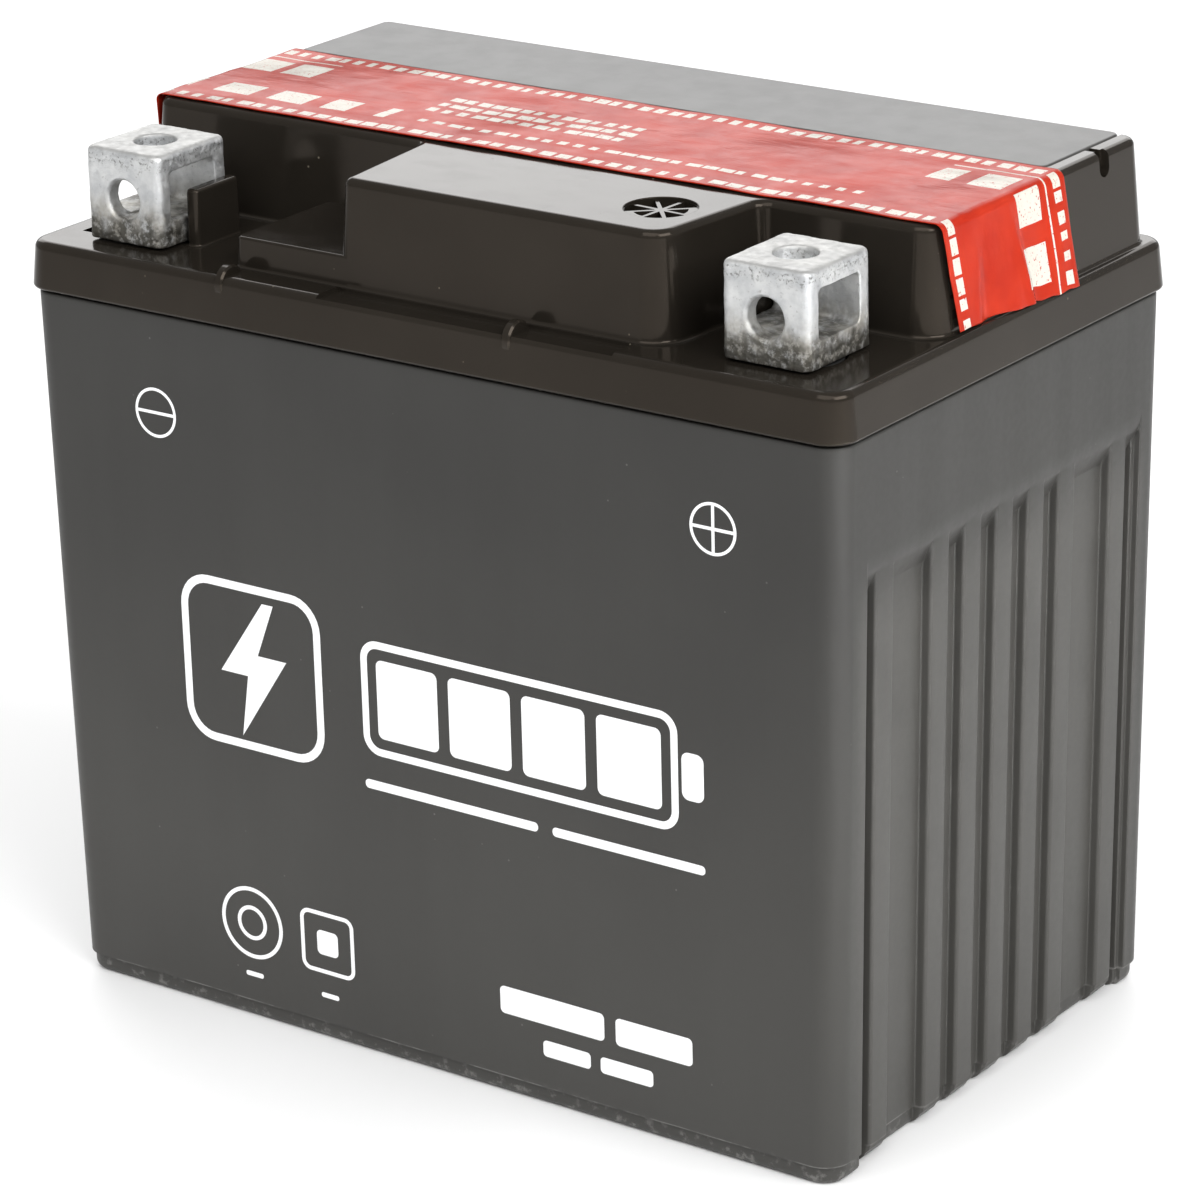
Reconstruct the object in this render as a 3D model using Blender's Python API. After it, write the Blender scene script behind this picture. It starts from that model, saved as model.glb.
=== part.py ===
"""Sealed 12 V motorcycle battery: six-cell container, heat-sealed cover, two cast terminals.

Frame: +X along the length towards the positive terminal, +Y towards the back, +Z up.
The origin is the middle of the base, on the surface that the battery stands on.
"""
import math

import bmesh
import bpy

MM = 0.001

# Driving dimensions, in millimetres
LENGTH = 113.0
WIDTH = 70.0
HEIGHT = 105.0
GAP = 0.3                      # clearance between pieces that touch

# Container
CELLS = 6
PARTITION = 1.6
CAVITY_X = 51.8                # half the inside length
CAVITY_Y = 31.6                # half the inside width
FLOOR = 3.0
LEDGE_Z = 2.2                  # small step that runs round the foot
BASE_X, BASE_Y = 53.9, 33.6    # half sizes of the foot band
WALL_X, WALL_Y = 54.6, 34.2    # half sizes of the wall just above the foot
SHOULDER_Z = 86.1
SHOULDER_X, SHOULDER_Y = 55.9, 34.4
RIM_X, RIM_Y = 55.0, 33.5
RIM_Z = 89.6
WALL_CORNER = 3.0

# Ribbed end faces
RIB_WIDTH = 3.7
RIB_CENTRES = (-24.9, -13.4, -6.7, 0.0, 6.7, 13.4, 24.9)
PANEL_EDGE_Y = 29.1            # the panel stops here, short of the corner
PANEL_DEPTH = 1.2
PANEL_SLOPE_LOW = 67.7
PANEL_SLOPE_HIGH = 70.4

# Cover
SKIRT_LOW = SHOULDER_Z + GAP
DECK_Z = 92.1
DECK_UNDER = RIM_Z + GAP
SKIRT_CORNER = 3.5
BAND_TOP = 104.4
BAND_X = 53.9                  # half length of the raised band at its top
BAND_FRONT, BAND_BACK = -12.7, 30.9
BLOCK_FRONT = -29.3
BLOCK_LEFT, BLOCK_RIGHT = -12.6, 30.2
BLOCK_FLARE = 2.0              # the block widens by this much on each side towards the band
STEP_LEFT, STEP_FRONT, STEP_TOP = -27.2, -30.0, 95.6
ROOT = 1.5                     # how far a raised part reaches down into the deck
WELL_R = 5.5
WELL_Y = 0.5
END_NOTCH_Y = (22.0, 24.2)
END_NOTCH_LOW = 101.4
GUARD_Y = (-26.6, -18.6)
GUARD_THICK = 1.8
GUARD_TOP = 98.8
TAPE_Y = (-11.9, 13.3)
TAPE_LOW = 92.6
TAPE_THICK = 0.3

# Terminals
POST_X = 44.5
POST_Y = -24.3
POST_R = 3.5
TERMINAL_X, TERMINAL_Y = 10.2, 12.2
TERMINAL_TOP = 103.3
TERMINAL_CORNER = 0.8
WINDOW_SILL = 3.0              # height of the solid foot under the nut window
WALL_FRONT, WALL_BACK, WALL_TOP = 2.0, 1.7, 2.2
BOLT_R = 2.75
BOLT_HOLE_Z = 97.9
POST_HOLE_R = POST_R + 0.5
SEAL_R = 4.8

# Vent and safety valves
VENT_X, VENT_Y = 24.4, -20.8
VENT_BORE_R = 4.8
VENT_SKIN = 1.2
VENT_SLOTS = 8
CHAMBER_X = 50.2
CHAMBER_Y = (15.6, 28.6)
CHAMBER_FLOOR = 97.0
VALVE_Y = 22.1
CHIMNEY_R = 3.0
CHIMNEY_BORE_R = 1.5
CHIMNEY_TOP = 100.6
LID_X = 51.4                   # half length of the plate that closes the valve chamber
LID_FRONT = 14.2               # the plate runs from here to the back face of the band
LID_THICK = 1.5

# Plate stacks
PLATE = 1.6
SEPARATOR = 1.0
STACK_PITCH = 3.3
PLATE_Y = 30.8
PLATE_TOP = 73.0
MAT_Y = 31.2
MAT_TOP = 75.0
LUG_Y = -POST_Y                # plate lugs and straps line up with the terminals
LUG_HALF = 4.0
STRAP_LOW, STRAP_HIGH = 76.0, 80.0
STRAP_HALF = 4.3
TAB_THICK = 2.2
TAB_TOP = 85.0
CONNECTOR_Z = 81.5
CONNECTOR_R = 3.0

CELL_SIZE = (2 * CAVITY_X - (CELLS - 1) * PARTITION) / CELLS
CELL_PITCH = CELL_SIZE + PARTITION


def cell_centre(index):
    return (index - (CELLS - 1) / 2) * CELL_PITCH


# ---------------------------------------------------------------- scene and materials

def clear_scene():
    for item in list(bpy.data.objects):
        bpy.data.objects.remove(item, do_unlink=True)


def make_material(name, colour, roughness, metallic=0.0):
    material = bpy.data.materials.new(name)
    material.use_nodes = True
    shader = material.node_tree.nodes["Principled BSDF"]
    shader.inputs["Base Color"].default_value = (*colour, 1.0)
    shader.inputs["Roughness"].default_value = roughness
    shader.inputs["Metallic"].default_value = metallic
    return material


# ---------------------------------------------------------------- shape helpers

def place(name, shape, material, at=(0, 0, 0)):
    """Turn a bmesh in millimetres into an object in metres at a point in millimetres."""
    bmesh.ops.recalc_face_normals(shape, faces=shape.faces)
    bmesh.ops.scale(shape, vec=(MM, MM, MM), verts=shape.verts)
    mesh = bpy.data.meshes.new(name)
    shape.to_mesh(mesh)
    shape.free()
    item = bpy.data.objects.new(name, mesh)
    item.location = [value * MM for value in at]
    bpy.context.scene.collection.objects.link(item)
    if material:
        mesh.materials.append(material)
    return item


def rounded_outline(corners, radius, steps=4):
    """Points of a convex outline, counter-clockwise, with every corner rounded."""
    points = []
    count = len(corners)
    for i, (x, y) in enumerate(corners):
        before, after = corners[i - 1], corners[(i + 1) % count]
        start = math.atan2(y - before[1], x - before[0])
        end = math.atan2(after[1] - y, after[0] - x)
        turn = (end - start) % (2 * math.pi)
        reach = radius / math.cos(turn / 2)
        middle = start + turn / 2 + math.pi / 2
        centre = (x + reach * math.cos(middle), y + reach * math.sin(middle))
        for k in range(steps + 1):
            angle = start + turn * k / steps - math.pi / 2
            points.append((centre[0] + radius * math.cos(angle), centre[1] + radius * math.sin(angle)))
    return points


def rectangle(x0, x1, y0, y1, radius, steps=4):
    return rounded_outline([(x0, y0), (x1, y0), (x1, y1), (x0, y1)], radius, steps)


def loft(rings):
    """Solid through outlines given as (z, points), with a flat cap at each end."""
    shape = bmesh.new()
    rows = [[shape.verts.new((x, y, z)) for x, y in points] for z, points in rings]
    for low, high in zip(rows, rows[1:]):
        for i in range(len(low)):
            j = (i + 1) % len(low)
            shape.faces.new((low[i], low[j], high[j], high[i]))
    shape.faces.new(rows[0][::-1])
    shape.faces.new(rows[-1])
    return shape


def box(lo, hi):
    shape = bmesh.new()
    bmesh.ops.create_cube(shape, size=1.0)
    size = [high - low for low, high in zip(lo, hi)]
    bmesh.ops.scale(shape, vec=size, verts=shape.verts)
    bmesh.ops.translate(shape, vec=[(low + high) / 2 for low, high in zip(lo, hi)], verts=shape.verts)
    return shape


def extrude(axis, profile, start, end):
    """Solid from an outline of (y, z) points swept along X, or (x, z) points swept along Y."""
    shape = bmesh.new()
    rows = []
    for along in (start, end):
        rows.append([shape.verts.new((along, a, z) if axis == "X" else (a, along, z)) for a, z in profile])
    for i in range(len(profile)):
        j = (i + 1) % len(profile)
        shape.faces.new((rows[0][i], rows[0][j], rows[1][j], rows[1][i]))
    shape.faces.new(rows[0])
    shape.faces.new(rows[1])
    return shape


def circle(radius, sides, x=0.0, y=0.0):
    return [(x + radius * math.cos(2 * math.pi * k / sides), y + radius * math.sin(2 * math.pi * k / sides))
            for k in range(sides)]


def cylinder(radius, z0, z1, x=0.0, y=0.0, sides=24):
    return loft([(z0, circle(radius, sides, x, y)), (z1, circle(radius, sides, x, y))])


def cylinder_along(axis, radius, start, end, at, sides=24):
    """Cylinder along X or Y from start to end, through a point."""
    shape = cylinder(radius, start, end, sides=sides)
    for vert in shape.verts:
        a, b, along = vert.co
        vert.co = (along, a + at[1], b + at[2]) if axis == "X" else (a + at[0], along, b + at[2])
    return shape


def merge(shapes):
    """One bmesh that holds several separate shapes."""
    total = bmesh.new()
    for shape in shapes:
        scratch = bpy.data.meshes.new("scratch")
        shape.to_mesh(scratch)
        shape.free()
        total.from_mesh(scratch)
        bpy.data.meshes.remove(scratch)
    return total


def boolean(target, operation, name, shape):
    """Add or cut a shape that stays on the target as a live modifier."""
    tool = place(f"{target.name}_{name}", shape, None, [value / MM for value in target.location])
    tool.hide_render = True
    tool.display_type = "WIRE"
    modifier = target.modifiers.new(name, "BOOLEAN")
    modifier.operation = operation
    modifier.object = tool


def shade(item, angle=35):
    item.data.shade_smooth()
    item.data.set_sharp_from_angle(angle=math.radians(angle))


# ---------------------------------------------------------------- container

def wall_half_length(z):
    """Half the outside length of the tapered wall at a height."""
    return WALL_X + (SHOULDER_X - WALL_X) * (z - LEDGE_Z) / (SHOULDER_Z - LEDGE_Z)


def panel_cutter(side, y0, y1):
    """Recess between two ribs, sunk by the panel depth and sloped out at its top."""
    inner_low = wall_half_length(0) - PANEL_DEPTH
    inner_high = wall_half_length(PANEL_SLOPE_LOW) - PANEL_DEPTH
    outer = wall_half_length(PANEL_SLOPE_HIGH)
    beyond = outer + 3
    profile = [(inner_low, -1), (inner_high, PANEL_SLOPE_LOW), (outer, PANEL_SLOPE_HIGH),
               (beyond, PANEL_SLOPE_HIGH + 6), (beyond, -1)]
    return extrude("Y", [(side * x, z) for x, z in profile], y0, y1)


def panel_cutters():
    edges = [-PANEL_EDGE_Y]
    for centre in RIB_CENTRES:
        edges += [centre - RIB_WIDTH / 2, centre + RIB_WIDTH / 2]
    edges.append(PANEL_EDGE_Y)
    return [panel_cutter(side, edges[i], edges[i + 1]) for side in (-1, 1) for i in range(0, len(edges), 2)]


def make_container(material):
    def ring(z, hx, hy):
        return (z, rectangle(-hx, hx, -hy, hy, WALL_CORNER))
    body = place("container", loft([
        ring(0, BASE_X - 0.7, BASE_Y - 0.7),
        ring(0.7, BASE_X, BASE_Y),
        ring(LEDGE_Z, BASE_X + 0.1, BASE_Y + 0.1),
        ring(LEDGE_Z, WALL_X, WALL_Y),
        ring(SHOULDER_Z, SHOULDER_X, SHOULDER_Y),
        ring(SHOULDER_Z, RIM_X, RIM_Y),
        ring(RIM_Z, RIM_X, RIM_Y)]), material)
    half = CELL_SIZE / 2
    cells = []
    for i in range(CELLS):
        middle = cell_centre(i)
        outline = rectangle(middle - half, middle + half, -CAVITY_Y, CAVITY_Y, 1.0, 2)
        cells.append(loft([(FLOOR, outline), (RIM_Z + 4, outline)]))
    boolean(body, "DIFFERENCE", "cells", merge(cells))
    boolean(body, "DIFFERENCE", "end_panels", merge(panel_cutters()))
    holes = []
    for i in range(CELLS - 1):
        wall = (cell_centre(i) + cell_centre(i + 1)) / 2
        at = (0, connector_y(i), CONNECTOR_Z)
        holes.append(cylinder_along("X", CONNECTOR_R + GAP, wall - 2, wall + 2, at, 20))
    boolean(body, "DIFFERENCE", "partition_holes", merge(holes))
    shade(body)


# ---------------------------------------------------------------- cover

def make_band():
    """Long raised bar along the back half of the cover."""
    return loft([
        (DECK_Z - ROOT, rectangle(-BAND_X - 0.6, BAND_X + 0.6, BAND_FRONT - 0.5, BAND_BACK + 1.3, 2.0)),
        (BAND_TOP - 0.6, rectangle(-BAND_X, BAND_X, BAND_FRONT, BAND_BACK, 2.0)),
        (BAND_TOP, rectangle(-BAND_X + 0.6, BAND_X - 0.6, BAND_FRONT + 0.6, BAND_BACK - 0.6, 2.0))])


def make_vent_block():
    """Raised block that stands out from the front of the band and holds the vent."""
    def outline(grow):
        front, back = BLOCK_FRONT - grow, BAND_FRONT + 3
        left, right = BLOCK_LEFT - grow, BLOCK_RIGHT + grow
        corners = [(left, front), (right, front), (right + BLOCK_FLARE, back), (left - BLOCK_FLARE, back)]
        return rounded_outline(corners, 1.6)
    return loft([(DECK_Z - ROOT, outline(0.9)), (BAND_TOP - 0.5, outline(0.0)),
                 (BAND_TOP - 0.02, outline(-0.5))])


def make_low_step():
    """Low shelf beside the vent block."""
    def outline(grow):
        return rectangle(STEP_LEFT - grow, BLOCK_LEFT + 4, STEP_FRONT - 2 * grow, BAND_FRONT + 3, 0.8, 2)
    return loft([(DECK_Z - ROOT, outline(0.3)), (STEP_TOP, outline(0.0))])


def nut_guard(side):
    """Upright beside a terminal that keeps its nut from sliding out."""
    inner = POST_X - TERMINAL_X / 2 - 0.4
    x0, x1 = sorted((side * inner, side * (inner - GUARD_THICK)))
    y0, y1 = GUARD_Y
    return loft([(DECK_Z - ROOT, rectangle(x0, x1, y0, y1, 0.4, 2)),
                 (GUARD_TOP, rectangle(x0, x1, y0 + 0.2, y1 - 0.2, 0.4, 2))])


def grille_slots():
    """Narrow openings like the gaps between the rays of a star."""
    slots = []
    for k in range(VENT_SLOTS):
        slot = box((1.1, -0.45, BAND_TOP - VENT_SKIN - 1), (4.0, 0.45, BAND_TOP + 1))
        turn = 2 * math.pi * (k + 0.5) / VENT_SLOTS
        for vert in slot.verts:
            x, y, z = vert.co
            vert.co = (VENT_X + x * math.cos(turn) - y * math.sin(turn),
                       VENT_Y + x * math.sin(turn) + y * math.cos(turn), z)
        slots.append(slot)
    return slots


def cut_cover_cavities(body):
    """Hollows of the cover: the socket over the rim, the filler wells and the valve chamber."""
    inside = rectangle(-RIM_X - GAP, RIM_X + GAP, -RIM_Y - GAP, RIM_Y + GAP, WALL_CORNER)
    boolean(body, "DIFFERENCE", "inside", loft([(SKIRT_LOW - 2, inside), (DECK_UNDER, inside)]))
    wells = [cylinder(WELL_R, DECK_UNDER - 1, BAND_TOP + 1, cell_centre(i), WELL_Y) for i in range(CELLS)]
    boolean(body, "DIFFERENCE", "filler_wells", merge(wells))
    front, back = CHAMBER_Y
    chamber = box((-CHAMBER_X, front, CHAMBER_FLOOR), (CHAMBER_X, back, BAND_TOP + 1))
    boolean(body, "DIFFERENCE", "valve_chamber", chamber)
    reach = LID_X + GAP
    rebate = box((-reach, LID_FRONT - GAP, BAND_TOP - LID_THICK - GAP), (reach, BAND_BACK + 2, BAND_TOP + 1))
    boolean(body, "DIFFERENCE", "lid_rebate", rebate)
    front, back = END_NOTCH_Y
    notch = box((BAND_X - 0.9, front, END_NOTCH_LOW), (BAND_X + 3, back, BAND_TOP + 1))
    boolean(body, "DIFFERENCE", "end_notch", notch)


def add_chimneys(body):
    """One gas outlet per cell, standing in the valve chamber."""
    tubes = [cylinder(CHIMNEY_R, CHAMBER_FLOOR - 1, CHIMNEY_TOP, cell_centre(i), VALVE_Y, 20)
             for i in range(CELLS)]
    boolean(body, "UNION", "chimneys", merge(tubes))
    bores = [cylinder(CHIMNEY_BORE_R, DECK_UNDER - 1, CHIMNEY_TOP + 1, cell_centre(i), VALVE_Y, 16)
             for i in range(CELLS)]
    boolean(body, "DIFFERENCE", "chimney_bores", merge(bores))


def make_cover(material):
    def ring(z, inset):
        half_x, half_y = LENGTH / 2 - inset, WIDTH / 2 - inset
        return (z, rectangle(-half_x, half_x, -half_y, half_y, SKIRT_CORNER, 5))
    body = place("cover", loft([
        ring(SKIRT_LOW, 0.1), ring(SKIRT_LOW + 0.5, 0.0), ring(DECK_Z - 1.0, 0.35),
        ring(DECK_Z - 0.3, 0.65), ring(DECK_Z, 1.4)]), material)
    boolean(body, "UNION", "band", make_band())
    boolean(body, "UNION", "vent_block", make_vent_block())
    boolean(body, "UNION", "low_step", make_low_step())
    boolean(body, "UNION", "nut_guards", merge([nut_guard(-1), nut_guard(1)]))
    cut_cover_cavities(body)
    add_chimneys(body)
    vent_bore = cylinder(VENT_BORE_R, DECK_UNDER - 1, BAND_TOP - VENT_SKIN, VENT_X, VENT_Y)
    boolean(body, "DIFFERENCE", "vent_bore", vent_bore)
    boolean(body, "DIFFERENCE", "vent_grille", merge(grille_slots()))
    for side, name in ((-1, "negative"), (1, "positive")):
        hole = cylinder(POST_HOLE_R, DECK_UNDER - 1, DECK_Z + 1, side * POST_X, POST_Y)
        boolean(body, "DIFFERENCE", f"{name}_post_hole", hole)
        seat = cylinder(SEAL_R + GAP, DECK_Z - 1.3, DECK_Z + 1, side * POST_X, POST_Y)
        boolean(body, "DIFFERENCE", f"{name}_seal_seat", seat)
    shade(body)


def make_cover_plate(material):
    front, back = LID_FRONT, BAND_BACK
    edge = rectangle(-LID_X, LID_X, front, back, 0.8, 2)
    crown = rectangle(-LID_X, LID_X, front, back - 0.6, 0.8, 2)
    plate = loft([(BAND_TOP - LID_THICK, edge), (BAND_TOP - 0.6, edge), (BAND_TOP, crown)])
    place("vent_cover_plate", plate, material)


def make_seal_tape(material):
    """Foil over the filler wells, folded down over both ends of the band."""
    fold = BAND_X + 0.4
    hem = BAND_X + 1.1
    half = [(hem, TAPE_LOW), (hem + TAPE_THICK, TAPE_LOW), (fold + TAPE_THICK, HEIGHT)]
    under = [(fold, HEIGHT - TAPE_THICK)]
    profile = half + [(-x, z) for x, z in half[::-1] + under] + under
    place("seal_tape", extrude("Y", profile, *TAPE_Y), material)


def make_arrestor_disc(material):
    top = BAND_TOP - VENT_SKIN - GAP
    disc = place("flame_arrestor_disc", cylinder(VENT_BORE_R - GAP, -2.5, 0), material, (VENT_X, VENT_Y, top))
    shade(disc)


def make_safety_valves(material):
    """Rubber caps that sit over the chimneys and lift when gas builds up."""
    sides = 20
    inner, outer = CHIMNEY_R + GAP, CHIMNEY_R + 1.2
    low, ceiling, top = CHAMBER_FLOOR + GAP, CHIMNEY_TOP + GAP, CHIMNEY_TOP + 1.4
    for i in range(CELLS):
        cap = loft([(low, circle(outer, sides)), (top - 0.3, circle(outer, sides)),
                    (top, circle(outer - 0.3, sides))])
        item = place(f"safety_valve_{i + 1}", cap, material, (cell_centre(i), VALVE_Y, 0))
        hollow = cylinder(inner, low - 1, ceiling, sides=sides)
        boolean(item, "DIFFERENCE", "hollow", hollow)
        shade(item)


# ---------------------------------------------------------------- terminals

def make_terminal(name, side, material):
    """Cast box for a nut, bored at the front and top, on a post through the cover."""
    hx, hy = TERMINAL_X / 2, TERMINAL_Y / 2
    foot = DECK_Z + GAP
    outline = rectangle(-hx, hx, -hy, hy, TERMINAL_CORNER, 2)
    crown = rectangle(-hx + 0.5, hx - 0.5, -hy + 0.5, hy - 0.5, TERMINAL_CORNER, 2)
    head = loft([(foot, outline), (TERMINAL_TOP - 0.5, outline), (TERMINAL_TOP, crown)])
    item = place(name, head, material, (side * POST_X, POST_Y, 0))
    boolean(item, "UNION", "post", cylinder(POST_R, STRAP_HIGH + GAP, foot + 1))
    window = box((-hx - 2, -hy + WALL_FRONT, foot + WINDOW_SILL),
                 (hx + 2, hy - WALL_BACK, TERMINAL_TOP - WALL_TOP))
    boolean(item, "DIFFERENCE", "nut_window", window)
    front = cylinder_along("Y", BOLT_R, -hy - 2, 0, (0, 0, BOLT_HOLE_Z))
    boolean(item, "DIFFERENCE", "front_bolt_hole", front)
    top = cylinder(BOLT_R, TERMINAL_TOP - WALL_TOP - 2, TERMINAL_TOP + 2)
    boolean(item, "DIFFERENCE", "top_bolt_hole", top)
    shade(item)


def make_post_seal(name, side, material):
    ring = cylinder(SEAL_R, DECK_Z - 1.0, DECK_Z - 0.1)
    seal = place(name, ring, material, (side * POST_X, POST_Y, 0))
    boolean(seal, "DIFFERENCE", "bore", cylinder(POST_HOLE_R, DECK_Z - 2, DECK_Z + 1))
    shade(seal)


# ---------------------------------------------------------------- plate stacks

def strap_side(cell, positive):
    """Side, -1 front or +1 back, of a cell's strap. It alternates from cell to cell."""
    negative_side = -1 if cell % 2 == 0 else 1
    return -negative_side if positive else negative_side


def connector_y(wall):
    """Each connector joins the positive strap of one cell to the next cell's negative strap."""
    return strap_side(wall, True) * LUG_Y


def make_plate_group(name, cell, positive, material):
    """Plates of one polarity, joined by lugs to a cast strap with a tab for its connector."""
    offsets = (-STACK_PITCH, STACK_PITCH) if positive else (-2 * STACK_PITCH, 0, 2 * STACK_PITCH)
    lug_y = strap_side(cell, positive) * LUG_Y
    low = FLOOR + (1.7 if positive else 0.4)
    plates = []
    for x in offsets:
        profile = [(-PLATE_Y, low), (PLATE_Y, low), (PLATE_Y, PLATE_TOP),
                   (lug_y + LUG_HALF, PLATE_TOP), (lug_y + LUG_HALF, STRAP_LOW + 1),
                   (lug_y - LUG_HALF, STRAP_LOW + 1), (lug_y - LUG_HALF, PLATE_TOP), (-PLATE_Y, PLATE_TOP)]
        plates.append(extrude("X", profile, x - PLATE / 2, x + PLATE / 2))
    reach = CELL_SIZE / 2 - GAP
    strap = box((-reach + 0.6, lug_y - STRAP_HALF, STRAP_LOW), (reach - 0.6, lug_y + STRAP_HALF, STRAP_HIGH))
    item = place(name, strap, material, (cell_centre(cell), 0, 0))
    boolean(item, "UNION", "plates", merge(plates))
    outer_end = (cell == 0 and not positive) or (cell == CELLS - 1 and positive)
    if not outer_end:
        towards = 1 if positive else -1
        x0, x1 = sorted((towards * reach, towards * (reach - TAB_THICK)))
        tab = box((x0, lug_y - LUG_HALF, STRAP_LOW + 1), (x1, lug_y + LUG_HALF, TAB_TOP))
        boolean(item, "UNION", "connector_tab", tab)


def make_separator(name, cell, side, material):
    """Glass mat folded in a U round one positive plate."""
    inner = (STACK_PITCH - SEPARATOR) / 2
    outer = inner + SEPARATOR
    low = FLOOR + GAP
    profile = [(-outer, low), (outer, low), (outer, MAT_TOP), (inner, MAT_TOP), (inner, low + SEPARATOR),
               (-inner, low + SEPARATOR), (-inner, MAT_TOP), (-outer, MAT_TOP)]
    middle = cell_centre(cell) + side * STACK_PITCH
    place(name, extrude("Y", profile, -MAT_Y, MAT_Y), material, (middle, 0, 0))


def make_connector(wall, material):
    middle = (cell_centre(wall) + cell_centre(wall + 1)) / 2
    shape = cylinder_along("X", CONNECTOR_R, -PARTITION / 2, PARTITION / 2, (0, 0, 0), 20)
    item = place(f"intercell_connector_{wall + 1}", shape, material, (middle, connector_y(wall), CONNECTOR_Z))
    shade(item)


def make_cells(materials):
    for cell in range(CELLS):
        number = cell + 1
        make_plate_group(f"positive_plate_group_{number}", cell, True, materials["positive_plate"])
        make_plate_group(f"negative_plate_group_{number}", cell, False, materials["negative_plate"])
        make_separator(f"separator_{number}_left", cell, -1, materials["glass_mat"])
        make_separator(f"separator_{number}_right", cell, 1, materials["glass_mat"])
    for wall in range(CELLS - 1):
        make_connector(wall, materials["lead"])


def main():
    clear_scene()
    materials = {
        "container": make_material("container_black", (0.045, 0.042, 0.039), 0.45),
        "cover": make_material("cover_black", (0.018, 0.016, 0.013), 0.16),
        "cover_plate": make_material("cover_plate_black", (0.035, 0.034, 0.031), 0.28),
        "foil": make_material("red_foil", (0.72, 0.07, 0.03), 0.22),
        "lead": make_material("cast_lead", (0.55, 0.55, 0.54), 0.42, 0.9),
        "rubber": make_material("black_rubber", (0.02, 0.02, 0.02), 0.7),
        "ceramic": make_material("porous_disc", (0.7, 0.68, 0.62), 0.9),
        "positive_plate": make_material("positive_plate_brown", (0.12, 0.06, 0.035), 0.85),
        "negative_plate": make_material("negative_plate_grey", (0.2, 0.2, 0.2), 0.8),
        "glass_mat": make_material("white_glass_mat", (0.85, 0.85, 0.83), 0.95),
    }
    make_container(materials["container"])
    make_cover(materials["cover"])
    make_cover_plate(materials["cover_plate"])
    make_seal_tape(materials["foil"])
    make_arrestor_disc(materials["ceramic"])
    make_safety_valves(materials["rubber"])
    for name, side in (("negative", -1), ("positive", 1)):
        make_terminal(f"{name}_terminal", side, materials["lead"])
        make_post_seal(f"{name}_terminal_seal", side, materials["rubber"])
    make_cells(materials)


main()
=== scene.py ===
"""Looks of a sealed 12 V motorcycle battery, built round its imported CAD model.

Shapes are written in millimetres in the CAD frame: +X towards the positive terminal,
+Y towards the back, +Z up, with the origin in the middle of the base.
"""
import math

import bmesh
import bpy
from mathutils import Matrix, Vector, noise


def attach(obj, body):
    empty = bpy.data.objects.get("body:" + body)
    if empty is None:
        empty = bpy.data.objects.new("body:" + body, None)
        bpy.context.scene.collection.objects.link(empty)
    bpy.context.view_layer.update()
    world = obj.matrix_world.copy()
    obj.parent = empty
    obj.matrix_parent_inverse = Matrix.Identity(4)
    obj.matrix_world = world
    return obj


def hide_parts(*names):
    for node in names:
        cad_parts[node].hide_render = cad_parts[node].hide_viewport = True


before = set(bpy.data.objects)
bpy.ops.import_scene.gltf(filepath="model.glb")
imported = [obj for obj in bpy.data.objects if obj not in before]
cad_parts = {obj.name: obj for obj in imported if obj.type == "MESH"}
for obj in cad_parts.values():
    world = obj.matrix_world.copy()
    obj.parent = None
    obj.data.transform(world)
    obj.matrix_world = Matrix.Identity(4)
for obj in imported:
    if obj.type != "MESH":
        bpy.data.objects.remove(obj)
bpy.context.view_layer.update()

MM = 0.001
CASE = "battery_case"

# Sizes in millimetres. Nearly all are the CAD model's own.
CELLS, PARTITION = 6, 1.6
CAVITY_X, CAVITY_Y, FLOOR = 51.8, 31.6, 3.0
GAP = 0.3
LEDGE_Z = 2.25
WALL_X, WALL_Y = 54.6, 34.2
SHOULDER_X, SHOULDER_Y, SHOULDER_Z = 55.9, 34.4, 86.1
RIM_X, RIM_Y, RIM_Z = 55.0, 33.5, 89.6
SKIRT_X, SKIRT_Y, SKIRT_LOW = 56.5, 35.0, 86.4
DECK, DECK_UNDER, BAND_TOP = 92.1, 89.9, 104.4
BELOW, ABOVE = DECK_UNDER - 1, BAND_TOP + 1     # where cutters end, clear of the cover
BAND_X, BAND_FRONT, BAND_BACK = 53.9, -12.7, 31.3
BLOCK_FRONT, BLOCK_LEFT, BLOCK_RIGHT = -29.3, -12.6, 30.2
BLOCK_FLARE = 1.8               # the block widens by this on each side where it meets the band
DRAFT = 0.85                    # how far each side of the raised part leans in over its height
STEP_LEFT, STEP_TOP = -28.0, 95.6
GUARD_FRONT, GUARD_BACK, GUARD_TOP, GUARD_THICK = -26.4, -18.8, 98.8, 1.7
PIP_PLACES = (-26.9, 13.3)
NOTCH_Y, NOTCH_HALF, NOTCH_LOW = 23.1, 1.05, 101.5
WELL_R, WELL_Y = 5.5, 0.5
POST_X, POST_Y, POST_R = 44.5, -24.3, 3.5
HEAD_X, HEAD_Y, HEAD_TOP = 10.2, 12.2, 103.3      # head of a terminal
HEAD_INNER = 0.8                # the casting reaches this much further inwards than outwards
BOLT_R, BOLT_HOLE_Z = 2.3, 97.5
SEAL_R, SEAL_DEPTH = 5.1, 1.3
VENT_X, VENT_Y = 24.4, -20.8
VENT_R, VENT_SKIN = 4.8, 2.2    # bore under the grille, and how far below the top it ends
LID_LEFT, LID_RIGHT, LID_FRONT, LID_THICK = -53.6, 51.4, 14.2, 1.5
CHAMBER_X, CHAMBER_FRONT, CHAMBER_BACK, CHAMBER_FLOOR = 50.2, 15.6, 28.6, 97.0
VALVE_Y, VALVE_R, VALVE_TOP, VALVE_BORE_R = 22.1, 3.0, 99.6, 1.5
CELL_SIZE = (2 * CAVITY_X - (CELLS - 1) * PARTITION) / CELLS
CELL_PITCH = CELL_SIZE + PARTITION

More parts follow.
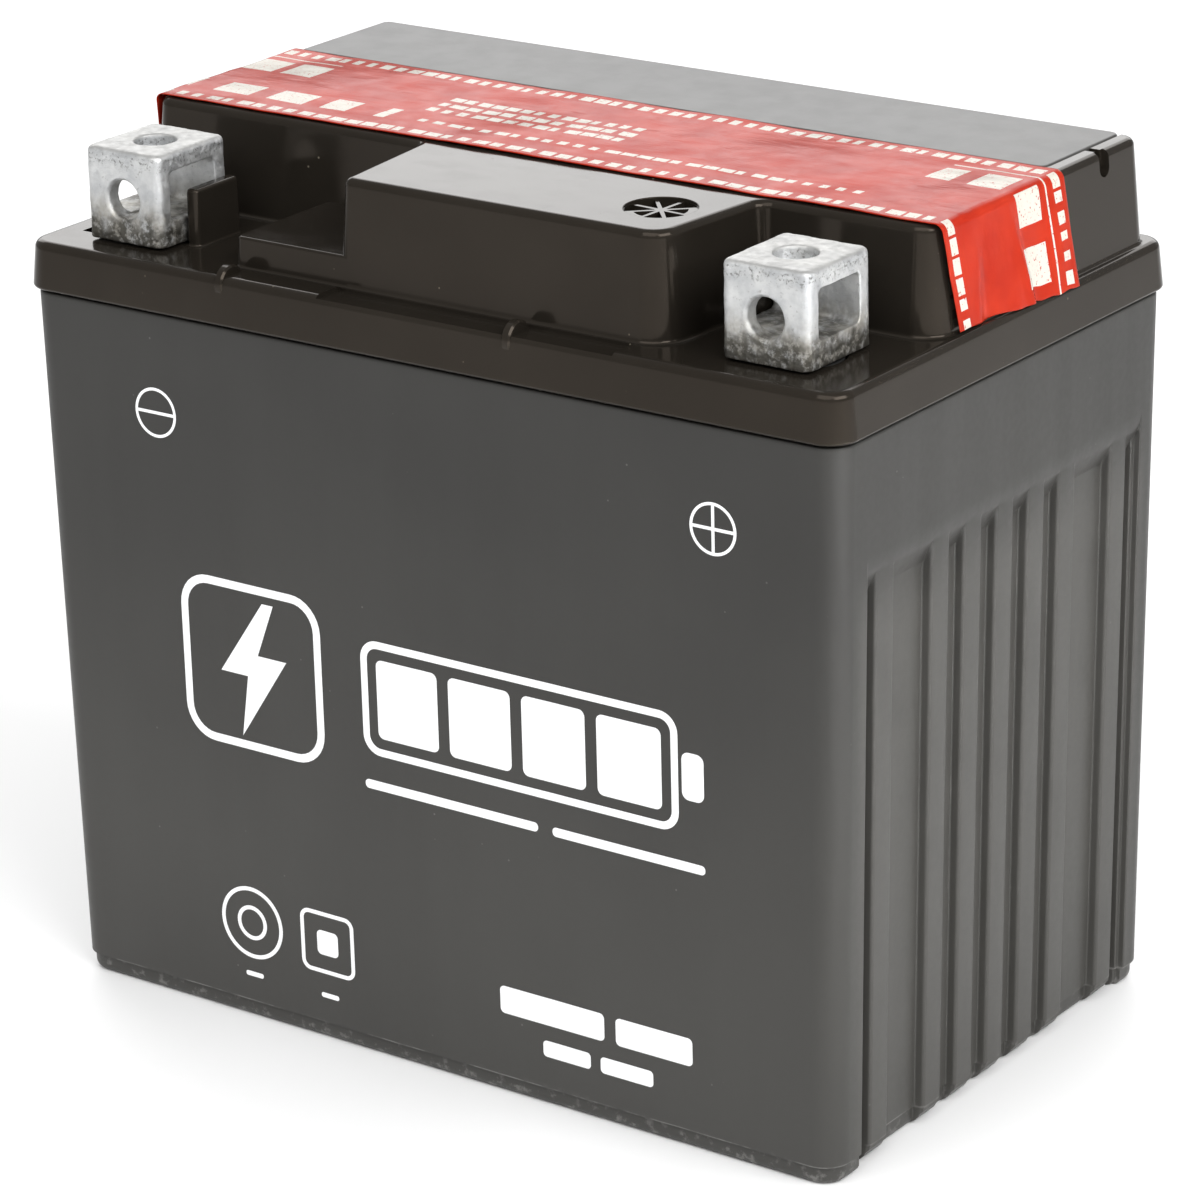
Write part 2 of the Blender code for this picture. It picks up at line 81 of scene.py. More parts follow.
# Ribbed end faces
RIB_WIDTH = 3.7
RIB_CENTRES = (-24.6, -13.4, -6.7, 0.0, 6.7, 13.4, 24.9)
PANEL_FRONT, PANEL_BACK = -28.4, 28.9
CREST_DEPTH = 0.3               # the ribs lie this far below the plain part of the face
PANEL_DEPTH = 1.5
LEDGE_STEP = 0.45               # the foot under the ledge stands back by this
SLOPE_LOW, SLOPE_MID, SLOPE_HIGH = 67.8, 70.4, 72.5

# Foil seal
TAPE_FRONT, TAPE_BACK, TAPE_TOP = -11.9, 13.3, 104.66
TAPE_HALF = BAND_X + 0.55       # half length of the flat part with its bends
TAPE_FOLD = 1.0                 # bend radius over the ends of the band
TAPE_TURN = math.radians(86)    # how far it bends there
FLAP_DROP = 11.2
FOIL_HALF = TAPE_HALF - TAPE_FOLD + TAPE_FOLD * TAPE_TURN + FLAP_DROP

# Camera, as the battery was seen: degrees and millimetres
CAMERA_AZIMUTH, CAMERA_ELEVATION, CAMERA_ROLL = 36.01, 20.47, -1.37
CAMERA_AIM, CAMERA_DISTANCE, CAMERA_DROP = Vector((0, 0, 50)), 568.63, 2.07
CAMERA_LENS, SENSOR_WIDTH = 145.0, 36.0
FLOOR_HALF = 1500
FILL_LIGHT = 0.48               # strength of the even light from all round

# Colours, linear. A pair is the dark and the light end of a material's mottling.
# The container's colours hold painted light: the top's pair is painted shade, and the foot's pair and the
# end colour are painted light.
CONTAINER_TOP_SHADED = (0.0265, 0.0255, 0.0235), (0.031, 0.030, 0.0275)
CONTAINER_FOOT_LIT = (0.042, 0.0405, 0.037), (0.048, 0.0465, 0.0425)
CONTAINER_ENDS_LIT = (0.063, 0.061, 0.056)
# Pale colour of scuffs and dust, also used for the painted highlight along the ledge.
CONTAINER_WORN_AND_HIGHLIGHT = (0.24, 0.235, 0.225)
COVER_BLACK = (0.0135, 0.0113, 0.0088), (0.0180, 0.0152, 0.0120)
COVER_SHEEN = (1.0, 0.84, 0.70, 1.0)
COVER_DUST = (0.30, 0.26, 0.20)
PLATE_BLACK = (0.049, 0.047, 0.044), (0.060, 0.058, 0.054)
LEAD = (0.51, 0.52, 0.53), (0.70, 0.705, 0.70)
LEAD_PIT, LEAD_FRECKLE, LEAD_SMEAR = (0.10, 0.095, 0.085), (0.20, 0.195, 0.185), (0.28, 0.275, 0.26)
# The third colour on the next line is painted shade for the terminals' top face.
LEAD_STAIN, LEAD_GRIME, LEAD_TOP_SHADED = (0.34, 0.31, 0.25), (0.080, 0.074, 0.060), (0.36, 0.35, 0.33)
FOIL_RED = (0.35, 0.020, 0.008), (0.42, 0.030, 0.012)
FOIL_INK = (0.58, 0.55, 0.49)
PRINT_WHITE = (0.93, 0.94, 0.95), (0.97, 0.975, 0.98)
RUBBER_BLACK = (0.012, 0.012, 0.012), (0.025, 0.024, 0.023)
POSITIVE_PASTE = (0.075, 0.035, 0.02), (0.16, 0.085, 0.05)
NEGATIVE_PASTE = (0.13, 0.13, 0.13), (0.24, 0.24, 0.235)
GLASS_WHITE = (0.74, 0.74, 0.71), (0.88, 0.88, 0.86)
DISC_GREY = (0.55, 0.53, 0.48), (0.72, 0.70, 0.65)
FLOOR_WHITE = (0.92, 0.92, 0.92), (0.95, 0.95, 0.95)


def cell_centre(index):
    return (index - (CELLS - 1) / 2) * CELL_PITCH


def noise_at(x, y, z, seed=0.0):
    """Smooth noise between -1 and 1."""
    return noise.noise(Vector((x + 17.3 * seed, y - 9.1 * seed, z + 5.7 * seed)))


def bulge(distance, width):
    """Bell curve: 1 at no distance, fading over a width."""
    return math.exp(-(distance / width) ** 2)


# ---- shape helpers

def outline(corners, grow=0.0, steps=6):
    """Counter-clockwise outline of (x, y, radius) corners, moved outwards by grow."""
    points = []
    count = len(corners)
    for i, (x, y, radius) in enumerate(corners):
        before, after = corners[i - 1], corners[(i + 1) % count]
        inbound = Vector((x - before[0], y - before[1])).normalized()
        outbound = Vector((after[0] - x, after[1] - y)).normalized()
        cross = inbound.x * outbound.y - inbound.y * outbound.x
        turn = math.atan2(cross, inbound.dot(outbound))
        side = 1 if turn > 0 else -1
        bend = max(radius + side * grow, 0.02)
        normals = Vector((inbound.y, -inbound.x)), Vector((outbound.y, -outbound.x))
        shift = (normals[0] + normals[1]) * grow / (1 + normals[0].dot(normals[1]))
        corner = Vector((x, y)) + shift
        start = corner - inbound * bend * math.tan(abs(turn) / 2)
        centre = start - normals[0] * side * bend
        arm = start - centre
        for k in range(steps + 1):
            c, s = math.cos(turn * k / steps), math.sin(turn * k / steps)
            points.append((centre.x + arm.x * c - arm.y * s, centre.y + arm.x * s + arm.y * c))
    return points


def rectangle(x0, x1, y0, y1, radius):
    return [(x0, y0, radius), (x1, y0, radius), (x1, y1, radius), (x0, y1, radius)]


def circle(radius, x, y, sides):
    angles = [2 * math.pi * k / sides for k in range(sides)]
    return [(x + radius * math.cos(a), y + radius * math.sin(a)) for a in angles]


def bridge(shape, low, high):
    """Faces between two closed rows of points."""
    for i in range(len(low)):
        j = (i + 1) % len(low)
        shape.faces.new((low[i], low[j], high[j], high[i]))


def loft(rings):
    """Solid through outlines given as (z, points), with a flat cap at each end."""
    shape = bmesh.new()
    rows = [[shape.verts.new((x, y, z)) for x, y in points] for z, points in rings]
    for low, high in zip(rows, rows[1:]):
        bridge(shape, low, high)
    shape.faces.new(rows[0][::-1])
    shape.faces.new(rows[-1])
    return shape


def quarter(steps):
    """Quarter round as shares (run, drop), from (0, 1) at its side to (1, 0) at its top."""
    turns = [math.pi / 2 * k / steps for k in range(steps + 1)]
    return [(1 - math.cos(t), 1 - math.sin(t)) for t in turns]


def raised(corners, foot, top, draft, crown, fillet=0.0, steps=6):
    """Moulded boss with a filleted foot, drafted sides and a rounded top edge."""
    sunk, seated = 0.4, 0.02        # its root under the surface, and where the fillet starts
    rings = [(foot - sunk, outline(corners, draft + fillet, steps))]
    if fillet:
        for run, drop in quarter(4):
            spread = draft + fillet * drop
            z = foot - seated + fillet * run
            rings.append((z, outline(corners, spread, steps)))
    for run, drop in quarter(5):
        inset = crown * run
        rings.append((top - crown * drop, outline(corners, -inset, steps)))
    return loft(rings)


def drilled(radius, low, top, x, y, lip=0.0, sides=48):
    """Cutter for a round hole whose mouth at the top is rounded by lip."""
    rings = [(low, circle(radius, x, y, sides))]
    if lip:
        for run, drop in quarter(4):
            spread = radius + lip * run
            rings.append((top - lip * drop, circle(spread, x, y, sides)))
    rings.append((top + 1.0, circle(radius + lip, x, y, sides)))
    return loft(rings)


def box(lo, hi):
    shape = bmesh.new()
    bmesh.ops.create_cube(shape, size=1.0)
    bmesh.ops.scale(shape, vec=[b - a for a, b in zip(lo, hi)], verts=shape.verts)
    bmesh.ops.translate(shape, vec=[(a + b) / 2 for a, b in zip(lo, hi)], verts=shape.verts)
    return shape


def laid_along_y(shape, x, y, z):
    """Lay a shape built along Z down along Y, and move it."""
    for vert in shape.verts:
        a, b, along = vert.co
        vert.co = (x + a, y + along, z + b)
    return shape


def bar_along_x(points, x0, x1):
    """Solid between two ends from an outline of (y, z) points."""
    shape = bmesh.new()
    rows = [[shape.verts.new((x, y, z)) for y, z in points] for x in (x0, x1)]
    bridge(shape, *rows)
    for row in rows:
        shape.faces.new(row)
    return shape


def merge(shapes):
    """One bmesh that holds several separate shapes."""
    total = bmesh.new()
    for shape in shapes:
        scratch = bpy.data.meshes.new("scratch")
        shape.to_mesh(scratch)
        shape.free()
        total.from_mesh(scratch)
        bpy.data.meshes.remove(scratch)
    return total


def make_object(name, shape, material=None):
    """Object in metres from a bmesh in millimetres."""
    bmesh.ops.recalc_face_normals(shape, faces=shape.faces)
    bmesh.ops.scale(shape, vec=(MM, MM, MM), verts=shape.verts)
    mesh = bpy.data.meshes.new(name)
    shape.to_mesh(mesh)
    shape.free()
    item = bpy.data.objects.new(name, mesh)
    bpy.context.scene.collection.objects.link(item)
    if material:
        mesh.materials.append(material)
    return item


def apply_modifiers(item):
    """Bake an object's modifiers into its mesh."""
    graph = bpy.context.evaluated_depsgraph_get()
    baked = bpy.data.meshes.new_from_object(item.evaluated_get(graph))
    item.modifiers.clear()
    old = item.data
    item.data = baked
    bpy.data.meshes.remove(old)


def combine(item, operation, shape):
    """Join a shape to an object or cut it out, straight away."""
    tool = make_object("tool", shape)
    modifier = item.modifiers.new("combine", "BOOLEAN")
    modifier.operation = operation
    modifier.object = tool
    apply_modifiers(item)
    bpy.data.objects.remove(tool)


def cut(item, shape):
    combine(item, "DIFFERENCE", shape)


def add(item, shape):
    combine(item, "UNION", shape)


def smooth(item, angle=32):
    """Smooth shading that stays flat on flat faces and sharp at real edges."""
    item.data.shade_smooth()
    item.data.set_sharp_from_angle(angle=math.radians(angle))
    weigh = item.modifiers.new("normals", "WEIGHTED_NORMAL")
    weigh.keep_sharp = True
    weigh.weight = 80               # large faces decide the shading more than small ones


def finish_piece(item, body, node):
    """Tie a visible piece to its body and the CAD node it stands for."""
    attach(item, body)
    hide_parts(node)


# ---- materials

class Graph:
    """Short way to write a shader. Sizes of noise are given as feature sizes in millimetres."""

    def __init__(self, name):
        self.material = bpy.data.materials.new(name)
        self.material.use_nodes = True
        self.tree = self.material.node_tree
        self.shader = self.tree.nodes["Principled BSDF"]
        self.place = self.add("ShaderNodeTexCoord").outputs["Object"]

    def add(self, kind, **settings):
        node = self.tree.nodes.new(kind)
        for key, value in settings.items():
            setattr(node, key, value)
        return node

    def feed(self, socket, value):
        if isinstance(value, bpy.types.NodeSocket):
            self.tree.links.new(value, socket)
        else:
            socket.default_value = value

    def set(self, **values):
        """Set shader inputs by name, with underscores for spaces."""
        for key, value in values.items():
            self.feed(self.shader.inputs[key.replace("_", " ")], value)

    def math(self, operation, a, b=0.0):
        node = self.add("ShaderNodeMath", operation=operation)
        for socket, value in zip(node.inputs, (a, b)):
            self.feed(socket, value)
        return node.outputs[0]

    def both(self, a, b):
        """Product of two masks or a mask and its strength."""
        return self.math("MULTIPLY", a, b)

    def between(self, value, low, high):
        """1 where a value lies between two limits, 0 elsewhere."""
        return self.both(self.math("GREATER_THAN", value, low), self.math("LESS_THAN", value, high))

    def stretch(self, x, y, z):
        """Object coordinates with each axis scaled."""
        node = self.add("ShaderNodeVectorMath", operation="MULTIPLY")
        self.feed(node.inputs[0], self.place)
        node.inputs[1].default_value = (x, y, z)
        return node.outputs[0]

    def noise(self, size, detail=2.0, rough=0.5, place=None):
        node = self.add("ShaderNodeTexNoise")
        self.feed(node.inputs["Vector"], place or self.place)
        node.inputs["Scale"].default_value = 1 / (size * MM)
        node.inputs["Detail"].default_value = detail
        node.inputs["Roughness"].default_value = rough
        return node.outputs["Fac"]

    def spots(self, size, low, high):
        """1 inside small round specks about size apart, 0 between them."""
        node = self.add("ShaderNodeTexVoronoi")
        self.feed(node.inputs["Vector"], self.place)
        node.inputs["Scale"].default_value = 1 / (size * MM)
        return self.ramp(node.outputs["Distance"], high, low)

    def ramp(self, value, low, high, to_low=0.0, to_high=1.0):
        """Value mapped smoothly from low..high to to_low..to_high."""
        node = self.add("ShaderNodeMapRange", interpolation_type="SMOOTHSTEP")
        for socket, number in zip(node.inputs, (value, low, high, to_low, to_high)):
            self.feed(socket, number)
        return node.outputs[0]

    def patches(self, grain, low=0.3, high=0.7, to_low=0.0, to_high=1.0):
        """Noise of a given grain, (size, detail, roughness), mapped like ramp."""
        return self.ramp(self.noise(*grain), low, high, to_low, to_high)

    def mix(self, factor, a, b):
        node = self.add("ShaderNodeMix", data_type="RGBA")
        self.feed(node.inputs["Factor"], factor)
        for socket, colour in ((node.inputs["A"], a), (node.inputs["B"], b)):
            self.feed(socket, (*colour, 1.0) if isinstance(colour, tuple) else colour)
        return node.outputs["Result"]

    def bump(self, height, strength, distance, before=None):
        node = self.add("ShaderNodeBump")
        node.inputs["Strength"].default_value = strength
        node.inputs["Distance"].default_value = distance * MM
        self.feed(node.inputs["Height"], height)
        if before is not None:
            self.feed(node.inputs["Normal"], before)
        return node.outputs["Normal"]

    def axis(self, name):
        """One object coordinate, in millimetres."""
        node = self.add("ShaderNodeSeparateXYZ")
        self.feed(node.inputs[0], self.place)
        return self.math("MULTIPLY", node.outputs[name], 1 / MM)


def container_colour_with_painted_light(g, height):
    """Painted shade darkens the top, and painted light brightens the foot and the ribbed end panels."""
    cloud = g.patches((30, 3))
    base = g.mix(g.ramp(height, 78, 12), g.mix(cloud, *CONTAINER_TOP_SHADED), g.mix(cloud, *CONTAINER_FOOT_LIT))
    on_end = g.ramp(g.math("ABSOLUTE", g.axis("X")), WALL_X - 2.0, WALL_X - 1.2)
    off_corner = g.ramp(g.math("ABSOLUTE", g.axis("Y")), 31.5, 28.5)
    under_slope = g.ramp(height, SLOPE_HIGH + 1, SLOPE_LOW - 6)
    # where the ribbed end panels get their painted light
    panels = g.both(g.both(on_end, off_corner), under_slope)
    return g.mix(g.both(panels, g.patches((9, 3), 0.2, 0.6, 0.7, 1.0)), base, CONTAINER_ENDS_LIT)


def container_wear_and_highlight(g, height):
    """Scuffs at the foot, a scraped ledge with a painted highlight along it, and a little dust, from 0 to
    1.
    """
    scuffs = g.both(g.ramp(height, 3.2, 0.4), g.patches((1.6, 4, 0.65), 0.52, 0.66))
    dust = g.both(g.spots(2.6, 0.035, 0.06), g.patches((9, 2), 0.55, 0.62))
    from_ledge = g.math("ABSOLUTE", g.math("SUBTRACT", height, LEDGE_Z + 0.1))
    # Painted highlight along the ledge, together with scraped wear.
    ledge = g.both(g.ramp(from_ledge, 0.22, 0.06), g.patches((7, 4, 0.65), 0.42, 0.60))
    pale_marks = g.math("MAXIMUM", g.both(scuffs, 0.55), g.both(dust, 0.35))
    return g.math("MAXIMUM", pale_marks, g.both(ledge, 0.6))


def container_plastic():
    """Satin moulded plastic with a fine grain, faint flow marks, scuffs near the foot, and painted shade
    and light.
    """
    g = Graph("container_plastic")
    height = g.axis("Z")
    # Scuffs, dust and the painted highlight along the ledge.
    pale_marks = container_wear_and_highlight(g, height)
    g.set(Base_Color=g.mix(pale_marks, container_colour_with_painted_light(g, height), CONTAINER_WORN_AND_HIGHLIGHT))
    streaks = g.ramp(g.noise(5, 3, 0.6, g.stretch(1, 1, 0.08)), 0.3, 0.7, 0.40, 0.47)
    rough = g.math("ADD", streaks, g.patches((0.8, 3), 0.3, 0.7, -0.02, 0.03))
    g.set(Roughness=g.math("ADD", rough, g.both(pale_marks, 0.3)))
    fine = g.bump(g.noise(0.16, 2, 0.6), 0.35, 0.012)
    wide = g.bump(g.noise(14, 2, 0.5, g.stretch(1, 1, 0.45)), 0.5, 0.05, fine)
    g.set(Normal=wide, IOR=1.5, Specular_IOR_Level=0.35)
    return g.material


def cover_plastic():
    """Glossy moulded plastic: slightly wavy, with a few specks and hairline marks."""
    g = Graph("cover_plastic")
    base = g.mix(g.patches((22, 3), 0.35, 0.7), *COVER_BLACK)
    dust = g.both(g.spots(1.9, 0.05, 0.08), g.patches((7, 2), 0.58, 0.64))
    g.set(Base_Color=g.mix(g.both(dust, 0.5), base, COVER_DUST))
    smears = g.ramp(g.noise(6, 4, 0.6, g.stretch(1, 1.6, 1)), 0.35, 0.75, 0.11, 0.17)
    g.set(Roughness=g.math("ADD", smears, g.both(dust, 0.3)))
    ripple = g.bump(g.noise(9, 2, 0.5), 0.5, 0.018)
    grain = g.bump(g.noise(0.5, 3, 0.55), 0.25, 0.004, ripple)
    g.set(Normal=grain, IOR=1.5, Specular_IOR_Level=0.25, Specular_Tint=COVER_SHEEN)
    return g.material


def plate_plastic():
    """Satin plate with a fine spark-eroded texture."""
    g = Graph("plate_plastic")
    g.set(Base_Color=g.mix(g.patches((18, 3)), *PLATE_BLACK))
    g.set(Roughness=g.patches((4, 4, 0.6), 0.3, 0.75, 0.36, 0.40))
    g.set(Normal=g.bump(g.noise(0.22, 3, 0.6), 0.5, 0.010), IOR=1.5, Specular_IOR_Level=0.5)
    return g.material


def lead_pits(g, height):
    """Casting pits in a band under the top edge and in one above the foot."""
    under_edge = g.both(g.ramp(height, HEAD_TOP - 2.4, HEAD_TOP - 1.2),
                        g.ramp(height, HEAD_TOP - 0.15, HEAD_TOP - 0.7))
    near_foot = g.ramp(height, DECK + 3.4, DECK + 1.2)
    return g.both(g.patches((0.42, 5, 0.72), 0.53, 0.63), g.math("MAXIMUM", under_edge, near_foot))


def lead_grime(g, height):
    """Dark mottled deposit with a ragged upper limit, thickest at the foot."""
    ragged = g.math("ADD", height, g.patches((3.0, 3, 0.6), 0.3, 0.7, -1.2, 1.2))
    return g.both(g.ramp(ragged, DECK + 4.8, DECK + 1.6), g.patches((0.9, 5, 0.7), 0.66, 0.46))


def cast_lead():
    """Cast lead alloy: dull silver, pitted along its edges, stained and dirty at the foot, with painted
    shade on its top face.
    """
    g = Graph("cast_lead")
    height = g.axis("Z")
    base = g.mix(g.patches((3.0, 4, 0.6), 0.3, 0.72), *LEAD)
    base = g.mix(g.both(lead_pits(g, height), 0.7), base, LEAD_PIT)
    freckles = g.patches((0.7, 5, 0.72), 0.60, 0.70)
    base = g.mix(g.both(freckles, 0.5), base, LEAD_FRECKLE)
    smears = g.ramp(g.noise(1.6, 4, 0.6, g.stretch(1, 1, 0.35)), 0.42, 0.60)
    lower = g.ramp(height, HEAD_TOP - 3, DECK + 2)
    base = g.mix(g.both(smears, g.both(lower, 0.45)), base, LEAD_SMEAR)
    stain = g.both(g.ramp(height, DECK + 6.5, DECK + 3.0), g.patches((2.0, 4, 0.65), 0.30, 0.62))
    base = g.mix(g.both(stain, 0.6), base, LEAD_STAIN)
    base = g.mix(g.both(lead_grime(g, height), 0.9), base, LEAD_GRIME)
    # Painted shade: the top face is painted darker so that it looks less bright under the lights.
    shaded_top = g.ramp(height, HEAD_TOP - 0.45, HEAD_TOP - 0.1)
    base = g.mix(g.both(shaded_top, 0.55), base, LEAD_TOP_SHADED)
    g.set(Base_Color=base, Metallic=0.88)
    g.set(Roughness=g.patches((0.9, 4, 0.6), 0.3, 0.75, 0.46, 0.66))
    coarse = g.bump(g.noise(1.5, 4, 0.62), 0.9, 0.14)
    g.set(Normal=g.bump(g.noise(0.25, 4, 0.65), 0.6, 0.03, coarse))
    return g.material


def rubber(name):
    g = Graph(name)
    g.set(Base_Color=g.mix(g.patches((3, 3)), *RUBBER_BLACK))
    g.set(Roughness=g.patches((0.8, 3), 0.3, 0.7, 0.6, 0.8))
    g.set(Normal=g.bump(g.noise(0.2, 3), 0.4, 0.01))
    return g.material


def pasted_plate(name, pair):
    """Dry lead paste on a cast grid: powdery, mottled and rough."""
    g = Graph(name)
    g.set(Base_Color=g.mix(g.patches((2.2, 5, 0.65)), *pair))
    g.set(Roughness=g.patches((0.9, 3), 0.3, 0.7, 0.75, 0.95))
    g.set(Normal=g.bump(g.noise(0.35, 4, 0.7), 0.6, 0.05))
    return g.material


def glass_mat():
    """White mat of fine glass fibre."""
    g = Graph("glass_mat")
    g.set(Base_Color=g.mix(g.patches((3, 4)), *GLASS_WHITE))
    g.set(Roughness=g.patches((1, 3), 0.3, 0.7, 0.88, 1.0))
    g.set(Normal=g.bump(g.noise(0.25, 4, 0.7, g.stretch(1, 0.2, 1)), 0.6, 0.05))
    return g.material


def sintered_disc():
    g = Graph("sintered_disc")
    g.set(Base_Color=g.mix(g.noise(0.6, 3), *DISC_GREY), Roughness=0.9)
    g.set(Normal=g.bump(g.noise(0.3, 2), 0.7, 0.05))
    return g.material


def white_print():
    """Screen-printed white ink, thin enough to show a little of the grain."""
    g = Graph("white_print")
    g.set(Base_Color=g.mix(g.patches((1.2, 4, 0.6), 0.35, 0.7), *PRINT_WHITE))
    g.set(Roughness=g.patches((0.9, 3), 0.3, 0.7, 0.42, 0.55))
    g.set(Normal=g.bump(g.noise(0.16, 2, 0.6), 0.3, 0.010))
    return g.material


# ---- container

def slope_depth(z):
    """How deep the end panels may be at a height: none above the slope, all of it below."""
    if z >= SLOPE_HIGH:
        return 0.0
    if z >= SLOPE_MID:
        return CREST_DEPTH * ((SLOPE_HIGH - z) / (SLOPE_HIGH - SLOPE_MID)) ** 2
    fall = (PANEL_DEPTH - CREST_DEPTH) * (SLOPE_MID - z) / (SLOPE_MID - SLOPE_LOW)
    deepest = PANEL_DEPTH + 1.0     # past every station, so the profile alone decides
    return min(deepest, CREST_DEPTH + fall)


def foot_step(z):
    """How far the foot under the ledge stands back from the wall."""
    above, height = 0.12, 0.14      # where the step ends over the ledge line, and how tall it is
    return LEDGE_STEP * min(1.0, max(0.0, (LEDGE_Z + above - z) / height))


def foot_round(z, radius=1.0):
    """Further inset of the rounded bottom edge."""
    return radius - math.sqrt(radius ** 2 - (radius - z) ** 2) if z < radius else 0.0


def rib_edge(face, facing, depth, crown):
    """Profile up the side of a rib from the panel to the crest, as (y, depth) pairs."""
    fillet, draft = 0.2, 0.06
    points = []
    for run, drop in quarter(3):
        points.append((-draft - fillet * drop, PANEL_DEPTH - fillet * run))
    for run, drop in quarter(5):
        points.append((crown * run, depth + crown * drop))
    points = [(face + facing * y, d) for y, d in points]
    return points if facing > 0 else points[::-1]


def end_profile():
    """(y, depth, is_rib) from the front corner of an end face to the back corner."""
    half, crown, swell = RIB_WIDTH / 2, 0.45, 0.06
    profile = [(y, d, False) for y, d in rib_edge(PANEL_FRONT, -1, 0.0, 0.35)]
    for centre in RIB_CENTRES:
        profile += [(y, d, True) for y, d in rib_edge(centre - half, 1, CREST_DEPTH, crown)]
        profile.append((centre, CREST_DEPTH - swell, True))
        profile += [(y, d, True) for y, d in rib_edge(centre + half, -1, CREST_DEPTH, crown)]
    # The panel rises to the plain face at the back in two treads, each half as high
    tread, bend, share = 0.35, 0.3, 0.5
    first = rib_edge(PANEL_BACK - tread, 1, 0.0, bend)
    profile += [(y, min(PANEL_DEPTH * share + d * share, PANEL_DEPTH), False) for y, d in first]
    profile += [(y, d * share, False) for y, d in rib_edge(PANEL_BACK + tread, 1, 0.0, bend)]
    return profile


def panel_depth(depth, is_rib, z):
    """Depth of one station of the end face at a height, with crests that taper off at the foot."""
    sunk = min(depth, slope_depth(z))
    if is_rib and z < LEDGE_Z:
        taper = (1 - z / LEDGE_Z) ** 1.4
        sunk = max(sunk, CREST_DEPTH + (PANEL_DEPTH - CREST_DEPTH) * taper)
    step = foot_step(z)
    return max(sunk, step) + (0.5 * step if sunk > step else 0.0) + foot_round(z)


def container_levels():
    """Heights of the container's rings, close together where its wall bends."""
    foot = [0.0, 0.04, 0.14, 0.3, 0.5, 0.75, 1.0, 1.4, 1.8, 2.05, 2.2, LEDGE_Z, 2.32, LEDGE_Z + 0.12,
            2.6, 3.4]
    plain = [6 + 6.0 * k for k in range(10)]
    slope = [65, 66.5, 67.3, SLOPE_LOW - 0.1, SLOPE_LOW, 68.1, 68.6, 69.2, 69.8, 70.2, SLOPE_MID,
             70.7, 71.0, 71.4, 71.8, 72.2, SLOPE_HIGH, 73.2]
    top = [75, 78, 82, 85, 85.7, 85.9, 86.0, 86.06, SHOULDER_Z]
    return foot + plain + slope + top


def wall_half(z):
    """Half length and half width of the tapered wall at a height."""
    rise = (z - LEDGE_Z) / (SHOULDER_Z - LEDGE_Z)
    return WALL_X + (SHOULDER_X - WALL_X) * rise, WALL_Y + (SHOULDER_Y - WALL_Y) * rise


def wall_bow(x, z):
    """Slight bow of the long walls, with a faint sink at each wall between cells."""
    bow, mark, mark_width = 0.06, 0.03, 0.10
    turn = (x / CELL_PITCH) % 1.0
    sink = mark * bulge(min(turn, 1 - turn), mark_width)
    return bow * math.cos(math.pi * x / (2 * WALL_X)) * math.sin(math.pi * z / SHOULDER_Z) - sink


def container_ring(z, profile, corner=3.2, arc=10):
    """Outline of the container at a height, ribs included."""
    half_x, half_y = wall_half(z)
    shoulder, stations = 0.3, 72
    if z > SHOULDER_Z - shoulder:
        lift = z - (SHOULDER_Z - shoulder)
        drop = shoulder - math.sqrt(max(shoulder ** 2 - lift ** 2, 0.0))
        half_x, half_y = half_x - drop, half_y - drop
    inset = foot_step(z) + foot_round(z)
    flat_x, flat_y = half_x - corner, half_y - corner

    def corner_arc(sx, sy, start):
        bend = corner - inset
        turns = [start + math.pi / 2 * k / arc for k in range(arc + 1)]
        return [(sx * flat_x + bend * math.cos(a), sy * flat_y + bend * math.sin(a)) for a in turns]

    def long_side(sy):
        along = [-flat_x + 2 * flat_x * k / stations for k in range(1, stations)]
        points = [(x, sy * (half_y - inset + wall_bow(x, z))) for x in along]
        return points if sy < 0 else points[::-1]

    right = [(half_x - panel_depth(d, rib, z), y) for y, d, rib in profile]
    left = [(-x, y) for x, y in right[::-1]]
    return (corner_arc(-1, -1, math.pi) + long_side(-1) + corner_arc(1, -1, -math.pi / 2) + right
            + corner_arc(1, 1, 0) + long_side(1) + corner_arc(-1, 1, math.pi / 2) + left)


def wave_ledge(shape):
    """Let the ledge wander a little up and down, as an old, much-used mould leaves it."""
    for vert in shape.verts:
        x, y, z = vert.co
        if abs(z - LEDGE_Z) < 0.2:
            vert.co.z += 0.06 * noise_at(x * 1.1, y * 1.1, 0, 3)


def make_container():
    """Open box with six cells, ribbed at both ends."""
    profile = end_profile()
    rings = [(z, container_ring(z, profile)) for z in container_levels()]
    neck = (RIM_X / SHOULDER_X, RIM_Y / SHOULDER_Y)
    collar = [(x * neck[0], y * neck[1]) for x, y in container_ring(SHOULDER_Z, profile)]
    rings += [(SHOULDER_Z, collar), (RIM_Z, collar)]
    shape = loft(rings)
    wave_ledge(shape)
    item = make_object("container_shell", shape, container_plastic())
    half = CELL_SIZE / 2
    cells = []
    for i in range(CELLS):
        corners = rectangle(cell_centre(i) - half, cell_centre(i) + half, -CAVITY_Y, CAVITY_Y, 1.0)
        cells.append(loft([(FLOOR, outline(corners, 0, 3)), (RIM_Z + 4, outline(corners, 0, 3))]))
    cut(item, merge(cells))
    smooth(item, 40)
    finish_piece(item, CASE, "container")


# ---- cover

def raised_corners():
    """Plan of the band and the vent block as one outline, with the corners' radii."""
    left, right = BLOCK_LEFT - BLOCK_FLARE, BLOCK_RIGHT + BLOCK_FLARE
    return [(-BAND_X, BAND_FRONT, 2.0), (left, BAND_FRONT, 0.9),
            (BLOCK_LEFT, BLOCK_FRONT, 1.0), (BLOCK_RIGHT, BLOCK_FRONT, 3.0),
            (right, BAND_FRONT, 1.6), (BAND_X, BAND_FRONT, 2.7),
            (BAND_X, BAND_BACK, 2.0), (-BAND_X, BAND_BACK, 2.0)]


